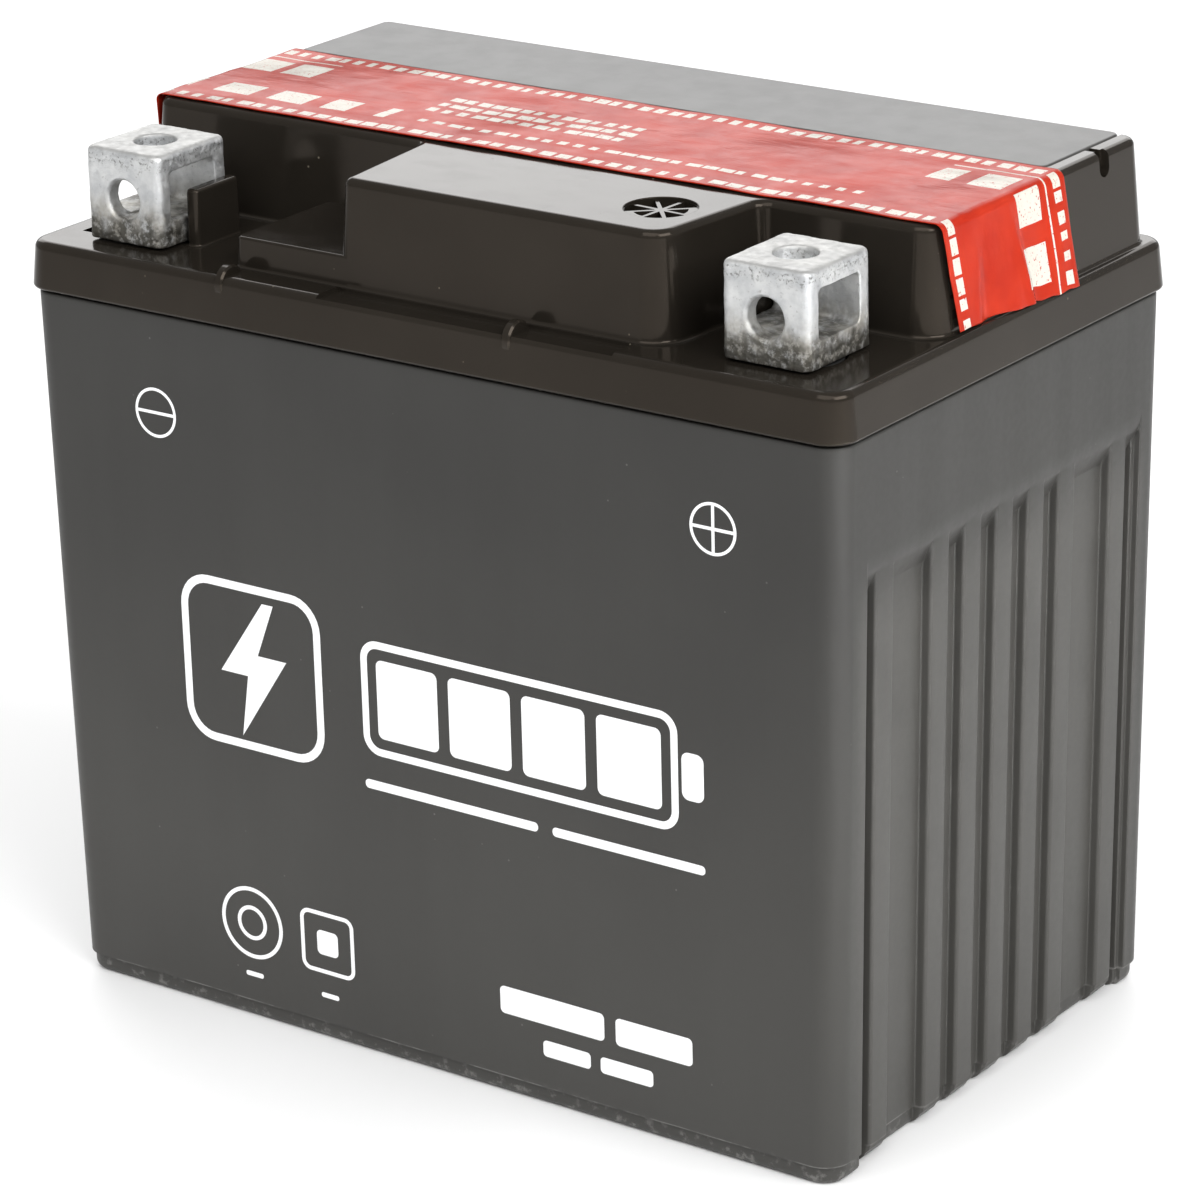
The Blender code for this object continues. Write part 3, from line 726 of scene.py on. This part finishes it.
def skirt_shape():
    """Deck and skirt: a rounded lip at the bottom and a soft edge at the top."""
    corners = rectangle(-SKIRT_X, SKIRT_X, -SKIRT_Y, SKIRT_Y, 3.5)
    lip, shoulder, lean, steps = 0.45, 1.0, 0.45, 10
    rings = [(SKIRT_LOW, outline(corners, -2 * lip, steps))]
    for run, drop in quarter(5):
        inset = lip * drop
        rings.append((SKIRT_LOW + lip * run, outline(corners, -inset, steps)))
    for run, drop in quarter(8):
        z = DECK - shoulder * drop
        rings.append((z, outline(corners, -lean - shoulder * run, steps)))
    return loft(rings)


def step_shape():
    """Low shelf whose front is flush with the block's front."""
    lean = DRAFT * (BAND_TOP - STEP_TOP) / (BAND_TOP - DECK)
    front = BLOCK_FRONT - lean - 0.01
    corners = rectangle(STEP_LEFT, BLOCK_LEFT + 5, front, BAND_FRONT + 3, 0.9)
    return raised(corners, DECK, STEP_TOP, DRAFT - lean, 0.3, 0.3, 4)


def nut_guard(side):
    """Upright beside a terminal that keeps its nut from sliding out."""
    clearance = 0.45
    inner = POST_X - HEAD_X / 2 - HEAD_INNER - clearance
    x0, x1 = sorted((side * inner, side * (inner - GUARD_THICK)))
    plan = rectangle(x0, x1, GUARD_FRONT, GUARD_BACK, 0.5)
    return raised(plan, DECK, GUARD_TOP, 0.1, 0.45, 0.3, 4)


def pip(x, radius=2.1, half=0.6, bevel=0.22):
    """Small arched web that stands on the skirt's front edge."""
    set_back, sunk = 0.2, 1.1
    ends = ((-half, bevel), (-half + bevel, 0.0), (half - bevel, 0.0), (half, bevel))
    web = loft([(along, circle(radius - inset, 0, 0, 40)) for along, inset in ends])
    for vert in web.verts:
        a, b, along = vert.co
        vert.co = (x + along, set_back - SKIRT_Y + radius + a, DECK - sunk + b)
    return web


def front_relief():
    """Cutter for the shallow step in the deck's front edge between the pips."""
    plan = rectangle(-13.0, 27.2, -38, -28, 0.3)
    low, top, flare = 91.72, 92.3, 0.12
    return loft([(low, outline(plan, 0.0, 3)), (top, outline(plan, flare, 3))])


def corner_pocket():
    """Cutter for the small pocket in the deck beside the left terminal."""
    depth = 0.7
    return box((-52.6, -28.2, DECK - depth), (-50.1, -26.3, DECK + 1))


def grille_gaps(count=8):
    """Openings between the thin arms of the star, two of them shorter than the rest."""
    gaps = []
    half_arm, long_reach, short_reach, short_gaps = 0.2, 4.0, 3.0, (0, 5)
    first = math.radians(19)
    for k in range(count):
        middle = first + 2 * math.pi * k / count
        inner = half_arm / math.sin(math.pi / count) + 0.1
        outer = short_reach if k in short_gaps else long_reach
        reach = math.pi / count - math.asin(half_arm / outer)
        angles = [middle - reach + 2 * reach * j / 6 for j in range(7)]
        points = [(VENT_X + inner * math.cos(middle), VENT_Y + inner * math.sin(middle))]
        points += [(VENT_X + outer * math.cos(a), VENT_Y + outer * math.sin(a)) for a in angles]
        gaps.append(loft([(BAND_TOP - 3, points), (ABOVE, points)]))
    return gaps


def cut_hidden_hollows(item):
    """Socket over the container's rim, wells under the foil, and the valve chamber."""
    inside = outline(rectangle(-RIM_X - GAP, RIM_X + GAP, -RIM_Y - GAP, RIM_Y + GAP, 3.0))
    cut(item, loft([(SKIRT_LOW - 2, inside), (DECK_UNDER, inside)]))
    centres = [cell_centre(i) for i in range(CELLS)]
    wells = [drilled(WELL_R, BELOW, BAND_TOP, x, WELL_Y, 0.4) for x in centres]
    cut(item, merge(wells))
    cut(item, box((-CHAMBER_X, CHAMBER_FRONT, CHAMBER_FLOOR), (CHAMBER_X, CHAMBER_BACK, ABOVE)))
    tubes = [drilled(VALVE_R, CHAMBER_FLOOR - 1, VALVE_TOP, x, VALVE_Y, 0, 32) for x in centres]
    add(item, merge(tubes))
    bores = [drilled(VALVE_BORE_R, BELOW, VALVE_TOP + 1.4, x, VALVE_Y, 0, 24) for x in centres]
    cut(item, merge(bores))


def cut_lid_seat(item):
    """Seat of the plate, open at the back and the left, with broken edges."""
    left, right, front, back = -BAND_X - 3, LID_RIGHT + GAP, LID_FRONT - GAP, BAND_BACK + 3
    corners = [(left, front, 0.2), (right, front, 1.0), (right, back, 0.2), (left, back, 0.2)]
    seat = BAND_TOP - LID_THICK - GAP
    sharp, broken = outline(corners), outline(corners, 0.18)
    cut(item, loft([(seat, sharp), (BAND_TOP - 0.15, sharp), (BAND_TOP + 0.05, broken), (ABOVE, broken)]))


def cut_end_notch(item):
    """Upright groove in the right end of the band that runs into the plate's seat."""
    front, back, centre = NOTCH_Y - NOTCH_HALF, NOTCH_Y + NOTCH_HALF, NOTCH_LOW + NOTCH_HALF
    points = [(front, ABOVE), (front, centre)]
    for a in [math.pi * k / 10 for k in range(1, 10)]:
        points.append((NOTCH_Y - NOTCH_HALF * math.cos(a), centre - NOTCH_HALF * math.sin(a)))
    points += [(back, centre), (back, ABOVE)]
    groove_depth = 0.85
    cut(item, bar_along_x(points, BAND_X - groove_depth, BAND_X + 3))
    slit_half, slit_middle, slit_depth = 0.6, 23.0, 0.9
    cut(item, box((LID_RIGHT, slit_middle - slit_half, BAND_TOP - slit_depth),
                  (BAND_X, slit_middle + slit_half, ABOVE)))


def cut_vent(item):
    """Vent bore under a star-shaped grille in a shallow recess."""
    recess_r, recess_depth = 4.1, 0.3
    cut(item, drilled(VENT_R, BELOW, BAND_TOP - VENT_SKIN, VENT_X, VENT_Y, 0, 32))
    cut(item, merge(grille_gaps()))
    cut(item, drilled(recess_r, BAND_TOP - recess_depth, BAND_TOP, VENT_X, VENT_Y, 0.12))


def cut_post_holes(item):
    """Hole and seal seat for each terminal's post."""
    for x in (-POST_X, POST_X):
        cut(item, drilled(POST_R + 0.5, BELOW, DECK, x, POST_Y))
        cut(item, drilled(SEAL_R, DECK - SEAL_DEPTH, DECK, x, POST_Y, 0.2))


def make_cover():
    """Deck with its skirt, band, vent block, low step, guards and pips."""
    item = make_object("cover_shell", skirt_shape(), cover_plastic())
    cut(item, front_relief())
    add(item, raised(raised_corners(), DECK, BAND_TOP, DRAFT, 0.9, 0.5))
    add(item, step_shape())
    add(item, merge([nut_guard(-1), nut_guard(1)] + [pip(x) for x in PIP_PLACES]))
    cut_hidden_hollows(item)
    cut_lid_seat(item)
    cut_end_notch(item)
    cut_vent(item)
    cut_post_holes(item)
    cut(item, corner_pocket())
    smooth(item)
    finish_piece(item, CASE, "cover")


def make_cover_plate():
    """Flat plate over the valve chamber, with rounded corners and a soft top edge."""
    corners = [(LID_LEFT, LID_FRONT, 0.6), (LID_RIGHT, LID_FRONT, 0.9),
               (LID_RIGHT, BAND_BACK, 1.2), (LID_LEFT, BAND_BACK, 1.0)]
    low, edge = BAND_TOP - LID_THICK, 0.35
    rings = [(low, outline(corners)), (low + 0.4, outline(corners))]
    for run, drop in quarter(5):
        rings.append((BAND_TOP - edge * drop, outline(corners, -edge * run)))
    item = make_object("cover_plate", loft(rings), plate_plastic())
    smooth(item)
    finish_piece(item, CASE, "vent_cover_plate")


# ---- foil seal

def tape_path(s):
    """Point and outward normal in the XZ plane at distance s from the middle of the foil."""
    side = 1 if s >= 0 else -1
    run = abs(s)
    fold_start = TAPE_HALF - TAPE_FOLD
    arc = TAPE_FOLD * TAPE_TURN
    if run <= fold_start:
        return (side * run, TAPE_TOP), (0.0, 1.0)
    if run <= fold_start + arc:
        a = (run - fold_start) / TAPE_FOLD
        return ((side * (fold_start + TAPE_FOLD * math.sin(a)), TAPE_TOP - TAPE_FOLD * (1 - math.cos(a))),
                (side * math.sin(a), math.cos(a)))
    down = run - fold_start - arc
    lean = math.radians(4)          # what the bend leaves of a right angle
    x = fold_start + TAPE_FOLD * math.sin(TAPE_TURN) + down * math.sin(lean)
    z = TAPE_TOP - TAPE_FOLD * (1 - math.cos(TAPE_TURN)) - down * math.cos(lean)
    return (side * x, z), (side * 1.0, 0.06)


def tape_ruffle(s, y, flap):
    """Height of the foil's wrinkles above its base at a point. flap runs from 0 at the bend to 1."""
    creases = 0.11 * noise_at(s / 9, y / 4.5, 0, 1) + 0.06 * noise_at(s / 3.2, y / 2.6, 0, 2)
    buckle = 0.16 * math.exp(-((s - 38) / 9) ** 2 - ((y + 1) / 6) ** 2)
    folds = flap * (0.30 * math.sin(y * 0.62 + 1.0) + 0.35 * noise_at(0, y / 3.5, s / 8, 5))
    ridge = 0.55 * flap * bulge(y - 1.2 - 3 * flap, 0.8) + 0.35 * flap * bulge(y + 5.5, 1.1)
    return creases * (1 + 0.5 * flap) + buckle + folds + ridge


def foil_row(g, along, across, low, high, pitch, fill, seed):
    """Bars of varied length between two distances from the front edge."""
    cell = g.math("DIVIDE", along, pitch)
    key = g.add("ShaderNodeCombineXYZ")
    g.feed(key.inputs[0], g.math("FLOOR", cell))
    g.feed(key.inputs[1], seed)
    chance = g.add("ShaderNodeTexWhiteNoise", noise_dimensions="2D")
    g.feed(chance.inputs["Vector"], key.outputs[0])
    length = g.ramp(chance.outputs["Value"], 0.0, 1.0, fill * 0.55, fill)
    inside = g.between(g.math("FRACT", cell), 0.08, length)
    return g.both(inside, g.between(across, low, high))


def foil_ink(g):
    """Plain bars and blocks in place of lettering, from 0 to 1."""
    split = g.add("ShaderNodeSeparateXYZ")
    g.feed(split.inputs[0], g.add("ShaderNodeUVMap", uv_map="foil").outputs[0])
    along, across = split.outputs["X"], split.outputs["Y"]
    from_middle = g.math("SUBTRACT", along, FOIL_HALF)
    ends = g.between(g.math("ABSOLUTE", from_middle), 43, 80)
    left = g.between(from_middle, -58, -24)
    text = g.between(from_middle, -22, 6)
    long_text = g.between(from_middle, -20, 41)

    def row(*sizes):
        return foil_row(g, along, across, *sizes)

    rows = [row(22.6, 24.2, 2.1, 0.92, 1.0), row(0.9, 2.3, 2.3, 0.92, 7.0),
            g.both(g.between(across, 20.9, 21.2), ends),
            g.both(row(14.8, 19.6, 6.0, 0.85, 2.0), ends), g.both(row(4.6, 8.6, 8.0, 0.75, 6.0), left),
            g.both(row(14.6, 16.0, 2.0, 0.95, 3.0), text), g.both(row(12.2, 13.6, 2.4, 0.95, 4.0), text),
            g.both(row(9.8, 11.2, 2.2, 0.95, 5.0), text), g.both(row(5.4, 6.5, 2.2, 0.95, 8.0), long_text)]
    ink = rows[0]
    for extra in rows[1:]:
        ink = g.math("MAXIMUM", ink, extra)
    return ink


def foil_material():
    """Red foil printed with bars, under a clear film that buckles and crinkles."""
    g = Graph("printed_foil")
    wear = g.patches((0.35, 3, 0.6), 0.30, 0.42)
    red = g.mix(g.patches((7, 3)), *FOIL_RED)
    g.set(Base_Color=g.mix(g.both(foil_ink(g), wear), red, FOIL_INK), Specular_IOR_Level=0.05)
    g.set(Roughness=g.patches((3, 4, 0.6), 0.3, 0.7, 0.14, 0.26))
    buckle = g.bump(g.noise(26, 1, 0.4), 1.0, 3.0)
    crinkle = g.bump(g.noise(3.4, 4, 0.62, g.stretch(0.5, 1.6, 1)), 0.6, 0.16, buckle)
    g.set(Normal=g.bump(g.noise(0.5, 3, 0.6), 0.25, 0.01, crinkle))
    return g.material


def foil_point(s, t):
    """Point of the foil at a distance from its middle and a share of its width."""
    side = 1 if s >= 0 else -1
    flap = max(0.0, abs(s) - TAPE_HALF) / FLAP_DROP
    (x, z), (nx, nz) = tape_path(s)
    y = TAPE_FRONT + (TAPE_BACK - TAPE_FRONT) * t
    y += 0.12 * noise_at(s / 6, t * 2, 0, 7) + flap * (1.9 * (1 - t) + 0.5 * t)
    lift = tape_ruffle(s, y, flap)
    sag = flap * (0.9 * t + 0.25 * noise_at(y / 2.0, s * 0.1, 0, 9))
    return x + nx * lift + side * flap * t, y, z + nz * lift - sag


def make_seal_tape():
    """Foil sheet as a fine grid that follows the band's top and hangs down at both ends."""
    columns, rows, thickness = 620, 84, 0.09
    width = TAPE_BACK - TAPE_FRONT
    shape = bmesh.new()
    sheet = shape.loops.layers.uv.new("foil")
    verts = []
    for i in range(columns + 1):
        s = -FOIL_HALF + 2 * FOIL_HALF * i / columns
        verts.append([shape.verts.new(foil_point(s, j / rows)) for j in range(rows + 1)])
    for i in range(columns):
        for j in range(rows):
            corners = ((i, j), (i + 1, j), (i + 1, j + 1), (i, j + 1))
            face = shape.faces.new([verts[a][b] for a, b in corners])
            for loop, (a, b) in zip(face.loops, corners):
                loop[sheet].uv = (2 * FOIL_HALF * a / columns, width * b / rows)
    item = make_object("foil_sheet", shape, foil_material())
    thick = item.modifiers.new("thickness", "SOLIDIFY")
    thick.thickness = thickness * MM
    thick.offset = 0.0
    item.data.shade_smooth()
    finish_piece(item, "foil_seal", "seal_tape")


# ---- terminals

def terminal_shape(side):
    """Block of one terminal's head, with soft corners."""
    hx, hy = HEAD_X / 2, HEAD_Y / 2
    x0, x1 = sorted((side * (POST_X - hx - HEAD_INNER), side * (POST_X + hx)))
    corners = rectangle(x0, x1, POST_Y - hy, POST_Y + hy, 0.95)
    return raised(corners, DECK + GAP + 0.4, HEAD_TOP, 0.05, 0.7, 0.0, 5)


def roughen(item, size, amount, seed):
    """Push the points of a fine mesh in and out like a rough casting, most of all near the edges."""
    mesh = item.data
    normals = [vert.normal.copy() for vert in mesh.vertices]
    for vert, normal in zip(mesh.vertices, normals):
        x, y, z = vert.co / MM
        edges = 1.6 * (bulge(z - HEAD_TOP + 1.1, 0.45) + bulge(z - DECK - 1.2, 0.7))
        wave = noise_at(x / size, y / size, z / size, seed)
        chips = noise_at(2.9 * x / size, 2.9 * y / size, 2.9 * z / size, seed + 1)
        vert.co += normal * MM * amount * (wave + 0.5 * chips + edges * min(chips, 0.1))


def cut_terminal_window(item, side):
    """Opening from side to side for the nut."""
    hx, hy, past = HEAD_X / 2, HEAD_Y / 2, 2
    floor, roof, front, back = 3.0, 2.2, 2.0, 2.3
    window = rectangle(POST_Y - hy + front, POST_Y + hy - back, DECK + GAP + floor, HEAD_TOP - roof, 0.7)
    x = side * POST_X
    cut(item, bar_along_x(outline(window, 0, 4), x - hx - past, x + hx + past))


def cut_bolt_holes(item, side):
    """Bolt hole in the front with a broken edge, and one in the top."""
    middle = side * (POST_X - HEAD_INNER / 2)
    front = POST_Y - HEAD_Y / 2

    def round_cutter(y, *rings):
        shape = loft([(along, circle(radius, 0, 0, 40)) for along, radius in rings])
        return laid_along_y(shape, middle, y, BOLT_HOLE_Z)

    cut(item, round_cutter(0, (front - 2, BOLT_R), (POST_Y, BOLT_R)))
    cut(item, drilled(BOLT_R + 0.15, HEAD_TOP - 5, HEAD_TOP, middle, POST_Y, 0.3, 40))
    cut(item, round_cutter(front - 0.05, (0.0, BOLT_R + 0.35), (0.45, BOLT_R - 0.05)))


def make_terminal(name, side, material):
    """Cast box for a nut, bored at the front and top, on a post through the cover."""
    post_low, voxel = 80.3, 0.16
    item = make_object(f"{name}_casting", terminal_shape(side), material)
    cut_terminal_window(item, side)
    cut_bolt_holes(item, side)
    add(item, drilled(POST_R, post_low, DECK + GAP + 0.5, side * POST_X, POST_Y, 0, 40))
    grid = item.modifiers.new("voxels", "REMESH")
    grid.mode = "VOXEL"
    grid.voxel_size = voxel * MM
    soften = item.modifiers.new("soften", "SMOOTH")
    soften.factor = 0.5
    soften.iterations = 3
    apply_modifiers(item)
    roughen(item, 1.7, 0.05, 2 + side)
    item.data.shade_smooth()
    finish_piece(item, CASE, f"{name}_terminal")


# ---- printed marks

INK_LIFT, INK_ROOT = 0.05, -0.2


def front_point(x, z, lift):
    """Point on the bowed front wall, lifted off it."""
    return x, -wall_half(z)[1] - wall_bow(x, z) - lift, z


def ink_prism(shape, outer, inner=None):
    """Thin solid on the front wall from an outline in (x, z), with a hole if inner is given."""
    loops = [outer] if inner is None else [outer, inner]
    proud = [[shape.verts.new(front_point(x, z, INK_LIFT)) for x, z in points] for points in loops]
    sunk = [[shape.verts.new(front_point(x, z, INK_ROOT)) for x, z in points] for points in loops]
    for top, bottom in zip(proud, sunk):
        for i in range(len(top)):
            j = (i + 1) % len(top)
            shape.faces.new((top[i], bottom[i], bottom[j], top[j]))
    for rows in (proud, sunk):
        if inner is None:
            shape.faces.new(rows[0])
        else:
            bridge(shape, *rows)


def printed(name, marks, material):
    """One printed mark from (outer, inner) outlines."""
    shape = bmesh.new()
    for outer, inner in marks:
        ink_prism(shape, outer, inner)
    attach(make_object(name, shape, material), CASE)


def bar(x0, x1, z0, z1, radius):
    return outline(rectangle(x0, x1, z0, z1, radius), 0, 5), None


def frame_mark(x0, x1, z0, z1, radius, line):
    corners = rectangle(x0, x1, z0, z1, radius)
    return outline(corners, 0, 8), outline(corners, -line, 8)


def ring(x, z, radius, line, sides=64):
    return circle(radius, x, z, sides), circle(radius - line, x, z, sides)


def make_polarity_marks(material):
    """Minus and plus, each in a thin ring, under the terminals."""
    radius, line, arm, half, soft = 3.0, 0.34, 2.75, 0.18, 0.02

    def ringed_dash(x, z):
        return [ring(x, z, radius, line), bar(x - arm, x + arm, z - half, z + half, soft)]

    x, z = 39.94, 74.65
    upright = [bar(x - half, x + half, z + half, z + arm, soft),
               bar(x - half, x + half, z - arm, z - half, soft)]
    printed("minus_mark", ringed_dash(-37.45, 74.2), material)
    printed("plus_mark", ringed_dash(x, z) + upright, material)


def make_front_print(material):
    """Plain pictures in place of the lettering: a bolt in a tile, a charge gauge and bars."""
    bolt = [(-23.0, 53.6), (-29.6, 44.2), (-25.6, 44.2), (-26.8, 36.6), (-19.8, 47.0), (-24.0, 47.0),
            (-21.4, 53.6)]
    gauge_left, gauge_right, tip = -8.8, 34.8, 38.2
    cell, cell_step = 8.6, 10.2
    charge = [bar(x, x + cell, 40.6, 50.2, 0.8) for x in [-6.6 + cell_step * k for k in range(4)]]
    ring_x, ring_z = -27.0, 12.6
    marks = {
        "print_tile": [frame_mark(-35.2, -14.6, 35.0, 55.6, 4.2, 1.0), (bolt[::-1], None)],
        "print_gauge": [frame_mark(gauge_left, gauge_right, 38.4, 52.4, 2.4, 0.9),
                        bar(gauge_right + 0.5, tip, 42.6, 48.2, 0.9)] + charge,
        "print_line": [bar(gauge_left, 15.6, 34.1, 35.2, 0.5), bar(17.6, tip, 34.1, 35.2, 0.5)],
        "print_ring": [ring(ring_x, ring_z, 4.6, 0.5), ring(ring_x, ring_z, 2.2, 0.5),
                       bar(-28.3, -25.7, 5.6, 6.2, 0.25)],
        "print_square": [frame_mark(-19.6, -11.7, 8.7, 16.6, 1.3, 0.5),
                         bar(-17.2, -14.1, 11.1, 14.2, 0.6), bar(-16.9, -14.3, 5.6, 6.2, 0.25)],
        "print_bars": [bar(9.5, 24.0, 10.4, 13.8, 0.6), bar(25.6, 36.0, 10.4, 13.8, 0.6),
                       bar(15.4, 22.0, 6.4, 8.4, 0.5), bar(23.4, 30.6, 6.4, 8.4, 0.5)],
    }
    for name, outlines in marks.items():
        printed(name, outlines, material)


# ---- CAD nodes that stay

def dress_inner_nodes(lead):
    """Give every CAD node that stays visible a procedural material."""
    looks = {
        "positive_plate_group": pasted_plate("positive_paste", POSITIVE_PASTE),
        "negative_plate_group": pasted_plate("negative_paste", NEGATIVE_PASTE),
        "separator": glass_mat(),
        "intercell_connector": lead,
        "safety_valve": rubber("valve_rubber"),
        "flame_arrestor_disc": sintered_disc(),
        "negative_terminal_seal": rubber("seal_rubber"),
        "positive_terminal_seal": rubber("seal_rubber"),
    }
    for name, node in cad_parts.items():
        for start, material in looks.items():
            if name.startswith(start):
                node.data.materials.clear()
                node.data.materials.append(material)


# ---- studio

def make_floor():
    g = Graph("studio_floor")
    g.set(Base_Color=g.mix(g.noise(60, 2), *FLOOR_WHITE), Roughness=0.6)
    shape = bmesh.new()
    bmesh.ops.create_grid(shape, x_segments=1, y_segments=1, size=FLOOR_HALF)
    make_object("studio_floor", shape, g.material)


def make_light(name, position, aim, size, power, spread=180):
    """Rectangular light: places and size in millimetres, power in watts, spread in degrees."""
    data = bpy.data.lights.new(name, "AREA")
    data.shape = "RECTANGLE"
    data.size, data.size_y = size[0] * MM, size[1] * MM
    data.energy = power
    data.spread = math.radians(spread)
    light = bpy.data.objects.new(name, data)
    light.location = Vector(position) * MM
    light.rotation_euler = (Vector(aim) - Vector(position)).to_track_quat("-Z", "Y").to_euler()
    bpy.context.scene.collection.objects.link(light)


def make_lights():
    """Soft front and right light. The tops mirror the back panel, the near corner the floor glow."""
    make_light("front_softbox", (100, -750, 900), (0, 0, 60), (1100, 900), 6.9)
    make_light("back_panel", (-700, 970, 700), (0, 0, 90), (1700, 800), 10.4)
    make_light("right_panel", (760, -180, 620), (0, 0, 60), (800, 500), 7.5)
    make_light("floor_glow", (330, -90, 330), (320, -85, 0), (140, 200), 0.9, 60)
    world = bpy.data.worlds.new("studio")
    world.use_nodes = True
    background = world.node_tree.nodes["Background"]
    background.inputs["Color"].default_value = (1, 1, 1, 1)
    background.inputs["Strength"].default_value = FILL_LIGHT
    bpy.context.scene.world = world


def make_camera():
    """Camera at the viewing angle of the photograph."""
    azimuth, elevation = math.radians(CAMERA_AZIMUTH), math.radians(CAMERA_ELEVATION)
    level = math.cos(elevation)
    back = Vector((math.sin(azimuth) * level, -math.cos(azimuth) * level, math.sin(elevation)))
    right = Vector((0, 0, 1)).cross(back).normalized()
    up = back.cross(right)
    roll = math.radians(CAMERA_ROLL)
    turned_right = right * math.cos(roll) + up * math.sin(roll)
    turned_up = up * math.cos(roll) - right * math.sin(roll)
    data = bpy.data.cameras.new("camera")
    data.lens = CAMERA_LENS
    data.sensor_width = SENSOR_WIDTH
    data.clip_start, data.clip_end = 0.05, 20
    camera = bpy.data.objects.new("camera", data)
    place = (CAMERA_AIM + back * CAMERA_DISTANCE - turned_up * CAMERA_DROP) * MM
    turn = Matrix((turned_right, turned_up, back)).transposed().to_4x4()
    camera.matrix_world = Matrix.Translation(place) @ turn
    bpy.context.scene.collection.objects.link(camera)
    bpy.context.scene.camera = camera


def build():
    bpy.context.scene.view_settings.view_transform = "Standard"
    lead = cast_lead()
    ink = white_print()
    make_container()
    make_cover()
    make_cover_plate()
    make_seal_tape()
    make_terminal("negative", -1, lead)
    make_terminal("positive", 1, lead)
    make_polarity_marks(ink)
    make_front_print(ink)
    dress_inner_nodes(lead)
    make_floor()
    make_lights()
    make_camera()


build()
